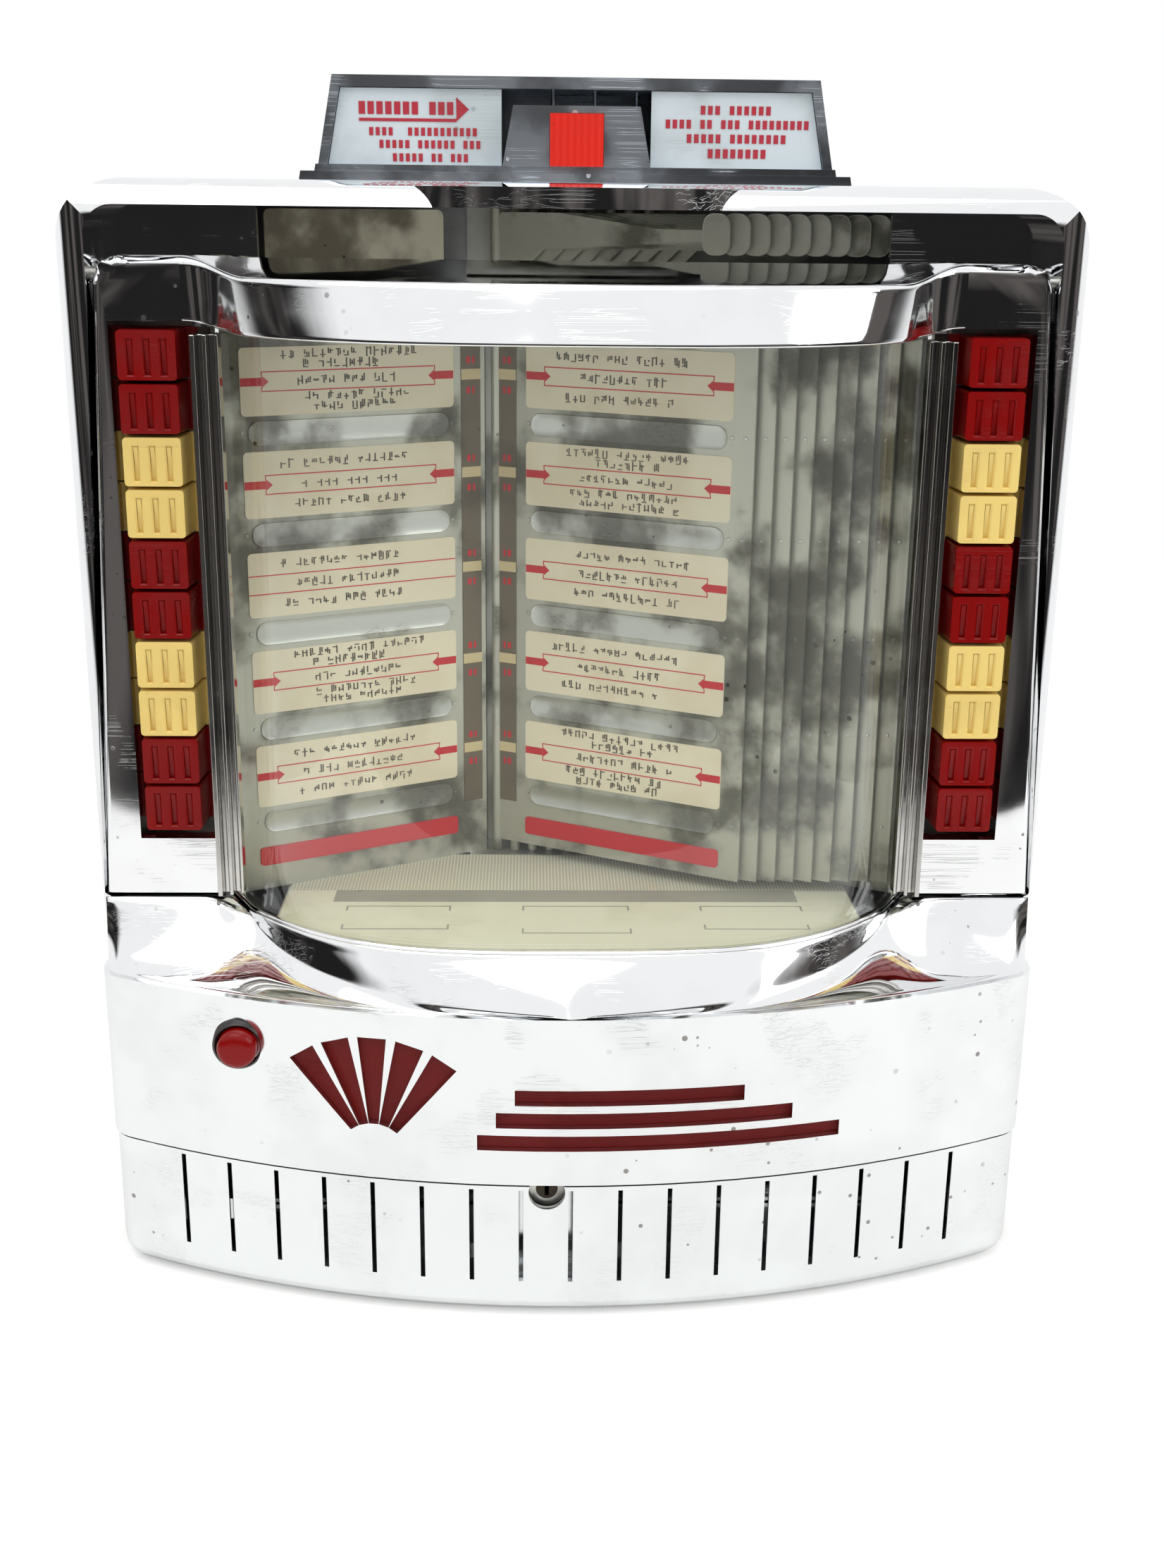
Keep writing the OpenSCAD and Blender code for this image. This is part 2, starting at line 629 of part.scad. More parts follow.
module slot_panel() color("whitesmoke") {
    wall = 2;
    roll = [for (i = [0 : 5]) i * 18];
    outer = concat([[0, panel_top_z]], [for (a = roll) [roll_r * (1 - cos(a)), roll_r * (1 - sin(a))]]);
    inner = concat([[wall, panel_top_z]],
                   [for (a = roll) [roll_r - (roll_r - wall) * cos(a), roll_r - (roll_r - wall) * sin(a)]]);
    outer_lines = [for (p = outer) chin_line(panel_inset + p.x)];
    inner_lines = [for (p = inner) chin_line(panel_inset + p.x)];
    difference() {
        loft([for (i = [0 : len(chin_angles) + 1])
                 [for (j = [0 : len(outer) - 1]) [each outer_lines[j][i], outer[j].y]]],
             [for (i = [0 : len(chin_angles) + 1])
                 [for (j = [0 : len(inner) - 1]) [each inner_lines[j][i], inner[j].y]]]);
        for (i = [0 : slot_count - 1]) let (x = (i - (slot_count - 1) / 2) * slot_pitch)
            span([x - slot_w / 2, chin_front_y - 5, roll_r + 5],
                 [x + slot_w / 2, chin_front_y + 40, panel_top_z - 1.4]);
        rod_y(lock_x, lock_z + 0.6, chin_front_y - 5, chin_front_y + 10, lock_r);
    }
    // bracket that holds the lock, with a foot on the rolled edge
    difference() {
        span([lock_x - 11, lock_front_y + 12, 1], [lock_x + 11, lock_front_y + 14, lock_z + 7]);
        rod_y(lock_x, lock_z, lock_front_y, lock_front_y + 20, lock_r + 0.1);
    }
    // floor, with a tongue that rests on the floor of the casing
    translate([0, 0, 0.4]) linear_extrude(wall - 0.8) polygon(chin_line(panel_inset + roll_r - 0.5));
    span([-110, chin_back_y - 8, 0.5], [110, chin_back_y, casing_wall + wall]);
    span([-110, chin_back_y - 1, casing_wall], [110, recess_y - 1, casing_wall + wall]);
}

module lock_barrel() color("silver") difference() {
    rod_y(lock_x, lock_z, lock_front_y, lock_front_y + 22, lock_r);
    rod_y(lock_x, lock_z, lock_front_y - 1, lock_front_y + 23, plug_r + plug_gap);
}

module lock_plug() color("goldenrod") {
    difference() {
        rod_y(lock_x, lock_z, lock_front_y + 0.2, cam_y + 1, plug_r);
        span([lock_x - 0.7, lock_front_y - 1, lock_z - 2.6], [lock_x + 0.7, lock_front_y + 8, lock_z + 2.2]);
    }
    span([lock_x - 4, cam_y, lock_z - 4], [lock_x + 17, cam_y + 2, lock_z + 4]);
}

// ---- buttons and their works ----

// One cap with its flange and stem, at the origin of its front face
module key_cap() {
    foot_w = cap_w + 2 * cap_draft;
    foot_h = cap_h + 0.6;
    difference() {
        intersection() {
            translate([0, 0, -cap_h]) linear_extrude(2 * cap_h)
                polygon([[-cap_w / 2, 0], [cap_w / 2, 0], [foot_w / 2, cap_d], [-foot_w / 2, cap_d]]);
            from_side(-cap_w, cap_w)
                polygon([[1.2, cap_h / 2], [0, cap_h / 2 - 1.2], [0, -cap_h / 2], [cap_d, -foot_h / 2],
                         [cap_d, foot_h / 2]]);
        }
        for (x = [-4.6, 0, 4.6]) translate([x, -0.9, 2.4 - cap_h / 2]) cylinder(h = cap_h - 5, r = 1.6, $fn = 24);
    }
    span([-flange_half, cap_d, (key_gap - key_pitch) / 2], [flange_half, cap_d + flange_t, (key_pitch - key_gap) / 2]);
    span([-stem_w / 2, cap_d + flange_t - 0.5, -stem_w / 2], [stem_w / 2, stem_end_y - cap_front_y, stem_w / 2]);
}

module key(side, i) color(floor(i / 2) % 2 == 0 ? "firebrick" : "moccasin")
    translate([side * key_x, cap_front_y, key_z[i]]) key_cap();

module key_guides() color("silver") both_sides() {
    low_z = key_slot_foot_z - 6;
    high_z = key_slot_top_z + 8;
    hole = stem_w / 2 + stem_gap;
    difference() {
        span([channel_in_x + 6, guide_y, low_z], [chassis_half, guide_y + guide_t, high_z]);
        for (z = key_z) span([key_x - hole, guide_y - 1, z - hole], [key_x + hole, guide_y + guide_t + 1, z + hole]);
    }
    span([chassis_half - 1.5, guide_y, low_z], [chassis_half, chassis_y, high_z]);
    span([channel_in_x + 6, guide_y + 24, low_z], [chassis_half, guide_y + 26, high_z]);
}

module contact_banks() color("saddlebrown") both_sides() {
    span([key_x - 13, guide_y + 18, key_z[key_count - 1] - 7], [key_x + 12, guide_y + 24, key_z[0] + 7]);
    for (z = key_z) {
        span([key_x + 7, stem_end_y + key_travel + 0.6, z - 2], [key_x + 10, guide_y + 18.5, z + 2]);
        span([key_x - 6, stem_end_y + key_travel + 0.4, z - 3], [key_x + 10, stem_end_y + key_travel + 0.9, z + 3]);
    }
}

// ---- pages ----

module page_rack() color("silver") {
    half = leaf_x[leaf_count - 1] + 10;
    difference() {
        union() {
            span([-half, leaf_pivot_y - 6, rack_low_z - rack_t], [half, chassis_y, rack_low_z]);
            span([-half, leaf_pivot_y - 6, rack_high_z], [half, chassis_y, rack_high_z + rack_t]);
        }
        for (x = leaf_x) translate([x, leaf_pivot_y, rack_low_z - rack_t - 1])
            cylinder(h = rack_high_z - rack_low_z + 2 * rack_t + 2, r = leaf_pin_r + leaf_pin_gap, $fn = 32);
    }
    span([-half, rack_back_y, rack_low_z - rack_t], [half, chassis_y, rack_high_z + rack_t]);
}

// Leaf drawn along +x from its pivot
module leaf_body() {
    bracket_s = 13;
    rotate([90, 0, 0]) translate([0, 0, -leaf_t / 2]) linear_extrude(leaf_t) {
        translate([0.5, leaf_foot_z]) square([leaf_w - 0.5, leaf_top_z - leaf_foot_z]);
        translate([0.5, leaf_top_z - 1]) square([bracket_s - 0.5, tab_z - leaf_top_z + 1]);
        polygon([[0.5, tab_z - 4], [0.5, arm_z - 2], [2.5, arm_z], [24, arm_z], [60, arm_z - 4.5],
                 [tab_s + 1, arm_z - 4.5], [tab_s + 1, arm_z - 8], [bracket_s + 5, tab_z + 0.5],
                 [bracket_s, tab_z - 4]]);
        round_rect([tab_s, tab_z], [tab_s + tab_w, tab_z + tab_h], 3.5);
    }
    translate([0, 0, rack_low_z + 0.3]) cylinder(h = rack_high_z - rack_low_z - 0.6, r = leaf_pin_r + 0.5, $fn = 32);
    translate([0, 0, rack_low_z - rack_t + 0.1])
        cylinder(h = rack_high_z - rack_low_z + 2 * rack_t - 0.2, r = leaf_pin_r, $fn = 32);
}

module leaf(i) color("darkgray")
    translate([leaf_x[i], leaf_pivot_y, 0]) rotate(-leaf_rest_angle) leaf_body();

// Sheet bent back at its pivot, fixed to the rack's wall
module end_pages() color("darkgray") both_sides()
    translate([end_page_x, leaf_pivot_y, rack_low_z]) linear_extrude(leaf_top_z - rack_low_z) {
        along = [cos(leaf_rest_angle), -sin(leaf_rest_angle)];
        across = [sin(leaf_rest_angle), cos(leaf_rest_angle)] * leaf_t / 2;
        inner_s = (across.x - leaf_t) / along.x;
        polygon([[-leaf_t, rack_back_y - leaf_pivot_y], [0, rack_back_y - leaf_pivot_y],
                 [0, leaf_t / 2 / along.x], leaf_w * along + across, leaf_w * along - across,
                 inner_s * along - across]);
    }

module shelf_outline(t) {
    polygon(concat([[-bow_point(100, t).x, leaf_pivot_y - 6]], bow_line(100, t),
                   [[bow_point(100, t).x, leaf_pivot_y - 6]]));
}

module card_shelf() color("darkgray")
    translate([0, 0, rack_low_z - 2.4]) linear_extrude(2) shelf_outline(-glass_t - 1.5);

module program_card() color("beige")
    translate([0, 0, rack_low_z - 0.4]) linear_extrude(0.4) shelf_outline(-glass_t - 2.5);

// ---- scanning works behind the chassis ----

module scan_motor() color("dimgray") {
    rod_y(scan_x, scan_z, chassis_y + chassis_t, chassis_y + chassis_t + motor_l, motor_r);
    rod_y(scan_x, scan_z, chassis_y + chassis_t, chassis_y + chassis_t + motor_l + 12, scan_shaft_r);
}

module contact_disc() color("peru") {
    difference() {
        rod_y(scan_x, scan_z, disc_y, disc_y + disc_t, 46);
        rod_y(scan_x, scan_z, disc_y - 1, disc_y + disc_t + 1, motor_r + 3);
    }
    for (a = [30 : 120 : 270])
        rod_y(scan_x + 41 * cos(a), scan_z + 41 * sin(a), chassis_y + chassis_t, disc_y + 0.5, 2.5);
}

module wiper_arm() color("goldenrod") {
    hub_y = chassis_y + chassis_t + motor_l + 2;
    difference() {
        union() {
            rod_y(scan_x, scan_z, hub_y, hub_y + 8, 6);
            span([scan_x - 3, hub_y + 1, scan_z - 12], [scan_x + 3, hub_y + 3, scan_z + 40]);
            span([scan_x - 3, disc_y + disc_t + 0.3, scan_z + 32], [scan_x + 3, hub_y + 2, scan_z + 36]);
        }
        rod_y(scan_x, scan_z, hub_y - 1, hub_y + 9, scan_shaft_r + scan_gap);
    }
}

casing();
back_plate();
chassis_plate();
sign_hood();
sign_windows();
coin_block();
coin_insert();
sign_lamp();
door_frame();
window_glass();
glass_channels();
sill_casting();
chin_panel();
ornament_inlay();
cancel_button();
slot_panel();
lock_barrel();
lock_plug();
hinge_pins();
page_rack();
end_pages();
card_shelf();
program_card();
key_guides();
contact_banks();
coin_chute();
cash_box();
scan_motor();
wiper_arm();
contact_disc();
cable_gland();
for (i = [0 : key_count - 1]) {
    key(-1, i);
    key(1, i);
}
for (i = [0 : leaf_count - 1])
    leaf(i);
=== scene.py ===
import math

import bmesh
import bpy
from mathutils import Matrix, Vector


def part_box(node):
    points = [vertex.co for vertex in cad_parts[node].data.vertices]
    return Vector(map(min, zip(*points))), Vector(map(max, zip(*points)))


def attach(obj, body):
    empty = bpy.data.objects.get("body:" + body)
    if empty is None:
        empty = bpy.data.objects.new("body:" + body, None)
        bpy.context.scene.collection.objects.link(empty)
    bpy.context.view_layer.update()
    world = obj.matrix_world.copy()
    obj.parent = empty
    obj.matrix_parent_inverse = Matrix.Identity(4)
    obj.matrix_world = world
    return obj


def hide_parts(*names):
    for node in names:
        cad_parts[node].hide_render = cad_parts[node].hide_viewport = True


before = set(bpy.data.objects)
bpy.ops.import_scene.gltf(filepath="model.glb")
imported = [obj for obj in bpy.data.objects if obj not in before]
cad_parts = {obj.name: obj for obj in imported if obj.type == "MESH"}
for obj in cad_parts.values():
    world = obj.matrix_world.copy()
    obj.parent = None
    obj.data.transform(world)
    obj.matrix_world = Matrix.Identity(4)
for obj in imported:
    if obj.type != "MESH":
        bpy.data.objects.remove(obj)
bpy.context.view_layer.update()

# ---- Camera, table and room ----
# The selector stands on a white table, seen from just above its own height.
# White lies all round it, and a dim room is mirrored in what faces the camera.

pitch, heading, roll = math.radians(17.81), math.radians(1.65), math.radians(-0.67)
ahead = Vector((math.sin(heading) * math.cos(pitch), math.cos(heading) * math.cos(pitch), -math.sin(pitch)))
across = Vector((math.cos(heading), -math.sin(heading), 0))
below = ahead.cross(across)
image_right = across * math.cos(roll) + below * math.sin(roll)
image_down = below * math.cos(roll) - across * math.sin(roll)
lens = bpy.data.cameras.new("camera")
lens.lens, lens.sensor_width, lens.clip_start = 41.72, 36, 0.05
camera = bpy.data.objects.new("camera", lens)
bpy.context.scene.collection.objects.link(camera)
camera.matrix_world = (Matrix.Translation((-0.0128, -0.6019, 0.350))
                       @ Matrix((image_right, -image_down, -ahead)).transposed().to_4x4())
bpy.context.scene.camera = camera
bpy.context.scene.view_settings.view_transform = "Standard"


def feed(tree, socket, value):
    """Gives a socket a link or a plain value."""
    if isinstance(value, bpy.types.NodeSocket):
        tree.links.new(value, socket)
    else:
        socket.default_value = value


def add(tree, kind, settings=None, **inputs):
    """A shader node with its settings and its inputs, named with _ for each space."""
    made = tree.nodes.new("ShaderNode" + kind)
    for name, value in (settings or {}).items():
        setattr(made, name, value)
    for name, value in inputs.items():
        feed(tree, made.inputs[name.replace("_", " ")], value)
    return made


def calc(tree, operation, *values):
    """Output of a Math node on numbers or sockets."""
    made = tree.nodes.new("ShaderNodeMath")
    made.operation = operation
    for socket, value in zip(made.inputs, values):
        feed(tree, socket, value)
    return made.outputs[0]


def rise(tree, value, low, high):
    """0 below low, 1 above high, smooth between."""
    made = add(tree, "MapRange", {"interpolation_type": "SMOOTHSTEP"},
               Value=value, From_Min=low, From_Max=high)
    return made.outputs[0]


def tint(tree, factor, first, second):
    """Colour that goes from the first to the second with the factor."""
    made = add(tree, "Mix", {"data_type": "RGBA"})
    for socket, value in zip((made.inputs[0], made.inputs[6], made.inputs[7]), (factor, first, second)):
        feed(tree, socket, value)
    return made.outputs[2]


room = bpy.data.worlds.new("room")
bpy.context.scene.world = room
room.use_nodes = True
tree = room.node_tree
tree.nodes.clear()
way = add(tree, "TexCoord").outputs["Generated"]
split = add(tree, "SeparateXYZ", Vector=way)
clutter = add(tree, "TexNoise", Vector=way, Scale=3.2, Detail=3.0).outputs[0]
aside = calc(tree, "MULTIPLY", calc(tree, "ABSOLUTE", split.outputs[0]), -0.3)
forward = calc(tree, "ADD", calc(tree, "ADD", split.outputs[1], aside), calc(tree, "MULTIPLY", clutter, 0.25))
front = rise(tree, forward, 0.05, -0.22)
low = rise(tree, calc(tree, "ADD", split.outputs[2], calc(tree, "MULTIPLY", clutter, 0.2)), 0.42, 0.24)
dim = tint(tree, rise(tree, clutter, 0.45, 0.62), (0.015, 0.014, 0.014, 1), (0.11, 0.1, 0.095, 1))
mirrored = tint(tree, calc(tree, "MULTIPLY", front, low), (1, 1, 1, 1), dim)
rays = add(tree, "LightPath")
plain = add(tree, "Background", Color=(1, 1, 1, 1), Strength=0.8)
seen = add(tree, "Background", Color=(1, 1, 1, 1), Strength=1.0)
glossy = add(tree, "Background", Color=mirrored, Strength=1.0)
by_metal = tree.nodes.new("ShaderNodeMixShader")
tree.links.new(rays.outputs["Is Glossy Ray"], by_metal.inputs[0])
tree.links.new(plain.outputs[0], by_metal.inputs[1])
tree.links.new(glossy.outputs[0], by_metal.inputs[2])
by_eye = tree.nodes.new("ShaderNodeMixShader")
tree.links.new(calc(tree, "MAXIMUM", rays.outputs["Is Camera Ray"], rays.outputs["Is Transmission Ray"]),
               by_eye.inputs[0])
tree.links.new(by_metal.outputs[0], by_eye.inputs[1])
tree.links.new(seen.outputs[0], by_eye.inputs[2])
tree.links.new(by_eye.outputs[0], add(tree, "OutputWorld").inputs[0])

for name, place, aim, size, watts in (("lamp_above", (-0.3, -0.5, 1.5), (0, 0, 0.2), 1.3, 9),
                                      ("lamp_right", (1.3, -0.7, 0.9), (0, 0, 0.2), 0.9, 5)):
    light = bpy.data.lights.new(name, "AREA")
    light.size, light.energy = size, watts
    lamp = bpy.data.objects.new(name, light)
    bpy.context.scene.collection.objects.link(lamp)
    lamp.location = place
    lamp.rotation_euler = (Vector(aim) - Vector(place)).to_track_quat("-Z", "Y").to_euler()


def piece(name, shape, material, body=None, sharp=32):
    """Object from a bmesh in millimetres, with its material, riding on a body."""
    bmesh.ops.recalc_face_normals(shape, faces=shape.faces)
    bmesh.ops.scale(shape, vec=(0.001, 0.001, 0.001), verts=shape.verts)
    for face in shape.faces:
        face.smooth = True
    data = bpy.data.meshes.new(name)
    shape.to_mesh(data)
    shape.free()
    data.set_sharp_from_angle(angle=math.radians(sharp))
    made = bpy.data.objects.new(name, data)
    bpy.context.scene.collection.objects.link(made)
    data.materials.append(material)
    if body:
        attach(made, body)
    return made


white_table = bpy.data.materials.new("white_table")
white_table.use_nodes = True
tree = white_table.node_tree
shader = tree.nodes["Principled BSDF"]
shader.inputs["Roughness"].default_value = 0.6
place = add(tree, "TexCoord").outputs["Object"]
grain = add(tree, "TexNoise", Vector=place, Scale=14.0, Detail=6.0).outputs[0]
tree.links.new(tint(tree, grain, (0.93, 0.93, 0.91, 1), (0.97, 0.97, 0.955, 1)), shader.inputs["Base Color"])
tree.links.new(add(tree, "LightPath").outputs["Is Camera Ray"], shader.inputs["Emission Strength"])
shader.inputs["Emission Color"].default_value = (0.22, 0.22, 0.22, 1)
table_half, table_front, table_back = 640, -500, 10000
shape = bmesh.new()
bmesh.ops.create_grid(shape, x_segments=1, y_segments=1, size=1)
bmesh.ops.scale(shape, vec=(table_half, (table_back - table_front) / 2, 1), verts=shape.verts)
bmesh.ops.translate(shape, vec=(0, (table_back + table_front) / 2, 0), verts=shape.verts)
piece("table", shape, white_table)

# ---- Casing ----
# The casing is one chromed steel shell with a rounded front rim, open at the back.
# A steel plate with the wall bolt holes closes it, and a plate inside carries the works.


def wear_group():
    """Scratches, pits and haze on any surface, as a shader node group."""
    tree = bpy.data.node_groups.new("wear", "ShaderNodeTree")
    for name, kind in (("Vector", "Vector"), ("Colour", "Color"), ("Soil", "Color"), ("Roughness", "Float"),
                       ("Scratches", "Float"), ("Spots", "Float"), ("Haze", "Float")):
        tree.interface.new_socket(name, in_out="INPUT", socket_type="NodeSocket" + kind)
    for name, kind in (("Colour", "Color"), ("Roughness", "Float"), ("Height", "Float")):
        tree.interface.new_socket(name, in_out="OUTPUT", socket_type="NodeSocket" + kind)
    given = tree.nodes.new("NodeGroupInput").outputs
    spread = add(tree, "TexNoise", Vector=given["Vector"], Scale=13.0, Detail=5.0).outputs[0]
    broken = add(tree, "TexNoise", Vector=given["Vector"], Scale=45.0, Detail=7.0).outputs[0]
    fine = add(tree, "TexNoise", Vector=given["Vector"], Scale=420.0, Detail=2.0).outputs[0]
    lines = 0.0
    for turn, limit in (((0.0, 0.6, 0.9), 0.54), ((0.4, -0.9, 0.1), 0.56), ((0.2, 1.45, 0.0), 0.54)):
        drawn = add(tree, "Mapping", Vector=given["Vector"], Rotation=turn, Scale=(9, 420, 420))
        streak = add(tree, "TexNoise", Vector=drawn.outputs[0], Scale=1.0, Detail=1.0).outputs[0]
        off = calc(tree, "ABSOLUTE", calc(tree, "SUBTRACT", streak, 0.5))
        line = calc(tree, "MULTIPLY", rise(tree, off, 0.009, 0.002), rise(tree, broken, limit, limit + 0.08))
        lines = calc(tree, "MAXIMUM", line, lines)
    cell = add(tree, "TexVoronoi", Vector=given["Vector"], Scale=170.0)
    width = calc(tree, "MULTIPLY", add(tree, "SeparateColor", Color=cell.outputs["Color"]).outputs[0], 0.16)
    pit = rise(tree, calc(tree, "SUBTRACT", cell.outputs["Distance"], width), 0.03, -0.02)
    pits = calc(tree, "MULTIPLY", calc(tree, "MULTIPLY", pit, rise(tree, spread, 0.5, 0.62)), given["Spots"])
    mottle = calc(tree, "MULTIPLY", calc(tree, "ADD", spread, broken), 0.5)
    cloud = calc(tree, "MULTIPLY", rise(tree, mottle, 0.46, 0.58), given["Haze"])
    cut = calc(tree, "MULTIPLY", lines, given["Scratches"])
    soiled = calc(tree, "MAXIMUM", pits, calc(tree, "MULTIPLY", cloud, 0.35))
    rough = calc(tree, "ADD", given["Roughness"], calc(tree, "MULTIPLY", cloud, 0.3))
    rough = calc(tree, "ADD", rough, calc(tree, "MULTIPLY", calc(tree, "MAXIMUM", cut, pits), 0.35))
    height = calc(tree, "SUBTRACT", calc(tree, "MULTIPLY", fine, 0.04), calc(tree, "MAXIMUM", cut, pits))
    out = tree.nodes.new("NodeGroupOutput")
    tree.links.new(tint(tree, soiled, given["Colour"], given["Soil"]), out.inputs["Colour"])
    tree.links.new(rough, out.inputs["Roughness"])
    tree.links.new(height, out.inputs["Height"])
    return tree


wear = wear_group()


def finish(name, colour, metallic=0.0, roughness=0.4, soil=(0.1, 0.07, 0.05), scratches=0.5, spots=0.5,
           haze=0.3, bump=0.00012, **sockets):
    """Material with the shared wear on its piece's own coordinates."""
    made = bpy.data.materials.new(name)
    made.use_nodes = True
    tree = made.node_tree
    shader = tree.nodes["Principled BSDF"]
    shader.inputs["Metallic"].default_value = metallic
    for socket, value in sockets.items():
        shader.inputs[socket.replace("_", " ")].default_value = value
    worn = tree.nodes.new("ShaderNodeGroup")
    worn.node_tree = wear
    worn.name = "wear"
    for socket, value in (("Vector", add(tree, "TexCoord").outputs["Object"]), ("Colour", (*colour, 1)),
                          ("Soil", (*soil, 1)), ("Roughness", roughness), ("Scratches", scratches),
                          ("Spots", spots), ("Haze", haze)):
        feed(tree, worn.inputs[socket], value)
    tree.links.new(worn.outputs["Colour"], shader.inputs["Base Color"])
    tree.links.new(worn.outputs["Roughness"], shader.inputs["Roughness"])
    relief = add(tree, "Bump", Height=worn.outputs["Height"], Distance=bump, Strength=1.0)
    tree.links.new(relief.outputs[0], shader.inputs["Normal"])
    return made


def dress(material, *names):
    """Puts a material on CAD nodes."""
    for name in names:
        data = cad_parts[name].data
        data.materials.clear()
        data.materials.append(material)


chrome = finish("chrome", (0.87, 0.88, 0.89), 1.0, 0.04, scratches=0.3, spots=0.7, haze=0.1, bump=0.00002)
plate_steel = finish("plate_steel", (0.42, 0.43, 0.44), 1.0, 0.35, haze=0.6)
zinc = finish("zinc", (0.62, 0.62, 0.58), 1.0, 0.38, soil=(0.25, 0.2, 0.12), haze=0.7)
dress(chrome, "casing")
dress(plate_steel, "back_plate", "chassis_plate")
dress(zinc, "key_guides", "page_rack", "hinge_pins", "card_shelf")
rubber = finish("rubber", (0.03, 0.03, 0.03), 0.0, 0.7, soil=(0.12, 0.11, 0.1), haze=0.8)
dress(rubber, "cable_gland")

# ---- Door sides and visor ----
# The door is a chromed casting: a side with a button slot left and right of the glass,
# and a visor that bulges forward over the glass and runs into the sides in a fillet.

bow_front, bow_depth, bow_half, bow_power = -72.5, 61.5, 122, 3.36
door_front, door_back, door_top = -36, -25.5, 333


def bow_y(x):
    """Depth of the glass's bulge in plan."""
    return bow_front + bow_depth * (abs(x) / bow_half) ** bow_power


def bow_point(x, out):
    """Point of the plan at a distance outside the bulge."""
    slope = math.copysign(bow_depth * bow_power / bow_half * (abs(x) / bow_half) ** (bow_power - 1), x)
    length = math.hypot(1, slope)
    return x + out * slope / length, bow_y(x) - out / length


def sheet(columns, rows, where):
    """Grid of faces with its corners where a function of two shares says."""
    shape = bmesh.new()
    bmesh.ops.create_grid(shape, x_segments=columns, y_segments=rows, size=0.5)
    for corner in shape.verts:
        corner.co = where(corner.co.x + 0.5, corner.co.y + 0.5)
    return shape


def soften(made, width, segments=3, angle=35):
    """Rounds a piece's sharp edges with a Bevel modifier, in millimetres."""
    bevel = made.modifiers.new("rounded", "BEVEL")
    bevel.width, bevel.segments, bevel.limit_method = width * 0.001, segments, "ANGLE"
    bevel.angle_limit = math.radians(angle)
    bevel.harden_normals = True
    return made


def cad_copy(name):
    """Merged copy of a CAD node's mesh, in millimetres."""
    shape = bmesh.new()
    shape.from_mesh(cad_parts[name].data)
    bmesh.ops.scale(shape, vec=(1000, 1000, 1000), verts=shape.verts)
    bmesh.ops.remove_doubles(shape, verts=shape.verts, dist=0.002)
    bmesh.ops.dissolve_limit(shape, angle_limit=math.radians(0.5), verts=shape.verts, edges=shape.edges)
    return shape


def merge_forward(first, second, blend):
    """The more forward of two depths, with a fillet between them."""
    near = max(blend - abs(first - second), 0) / blend
    return min(first, second) - near * near * blend / 4


# Each row: distance outside the bow and height in the middle, then depth and height at the side.
visor_rows = ((None, 332.4, door_back, door_top), (None, 329.8, -28, door_top),
              (None, 327.6, -30.6, door_top), (None, 327.4, -33.6, door_top),
              (0.7, 326.9, -35.0, 332.6), (1.15, 326.0, -35.7, 331.7),
              (1.35, 325.4, door_front, 330.6), (1.5, 325.0, door_front, 330.0),
              (3.7, 318.3, door_front, 322), (5.9, 312.2, door_front, 315.6),
              (6.05, 311.8, door_front, 314.9), (6.25, 311.1, door_front, 314.4),
              (6.1, 310.7, -35.8, 314.1), (5.4, 310.5, -35, 314), (1.0, 310.6, -34, 314),
              (0.8, 325.9, -34, 325))
top_shares = (0, 0.5, 0.96, 0.985)
visor_half, turn_in_x, slot_top = 118.5, 98, 314


def visor_corner(u, v):
    """Point of the visor: its middle section runs over into the section of the door's side."""
    row = round(v * (len(visor_rows) - 1))
    out, z, side_y, side_z = visor_rows[row]
    x = (2 * u - 1) * visor_half
    wide = 1 + 0.055 * (side_z - slot_top) / (door_top - slot_top)
    if out is None:
        y = door_back + (bow_point(x / wide, 0.5)[1] - door_back) * top_shares[row]
    else:
        y = bow_y(x / wide) - out
    share = max(0, min(1, (abs(x) - turn_in_x) / (visor_half - turn_in_x)))
    share = share * share * (3 - 2 * share)
    return (x, merge_forward(y, side_y - 0.06, 8), z + (side_z - z) * share)


shape = sheet(140, len(visor_rows) - 1, visor_corner)
visor = piece("visor", shape, chrome, "door", sharp=60)
shape = cad_copy("door_frame")
side_in_x, cut_z = 105.5, slot_top - 0.1
for at, along in (((-side_in_x, 0, 0), (-1, 0, 0)), ((-visor_half, 0, 0), (-1, 0, 0)),
                  ((side_in_x, 0, 0), (1, 0, 0)), ((visor_half, 0, 0), (1, 0, 0)),
                  ((0, 0, cut_z), (0, 0, 1))):
    bmesh.ops.bisect_plane(shape, geom=shape.verts[:] + shape.edges[:] + shape.faces[:],
                           plane_co=at, plane_no=along, dist=0.001)
inner = [v for v in shape.verts if abs(v.co.x) < side_in_x - 0.1
         or v.co.z > cut_z + 0.05 and abs(v.co.x) < visor_half - 0.1]
bmesh.ops.delete(shape, geom=inner, context="VERTS")
rim = [e for e in shape.edges if len(e.link_faces) == 2 and e.calc_face_angle(0) > 0.9
       and all(abs(v.co.y - door_front) < 0.05 for v in e.verts)
       and all(abs(v.co.x) > 143 or v.co.z > door_top - 2 for v in e.verts)]
bmesh.ops.bevel(shape, geom=rim, offset=2.4, offset_type="OFFSET", segments=4, affect="EDGES", profile=0.5,
                material=-1, clamp_overlap=False)
door_sides = piece("door_sides", shape, chrome, "door", sharp=40)
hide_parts("door_frame")

# ---- Window glass ----
# The window is one sheet of bent glass, held in the channels and under the visor.
# It is clear but for faint smears, and follows the same bow as the visor and the sill.

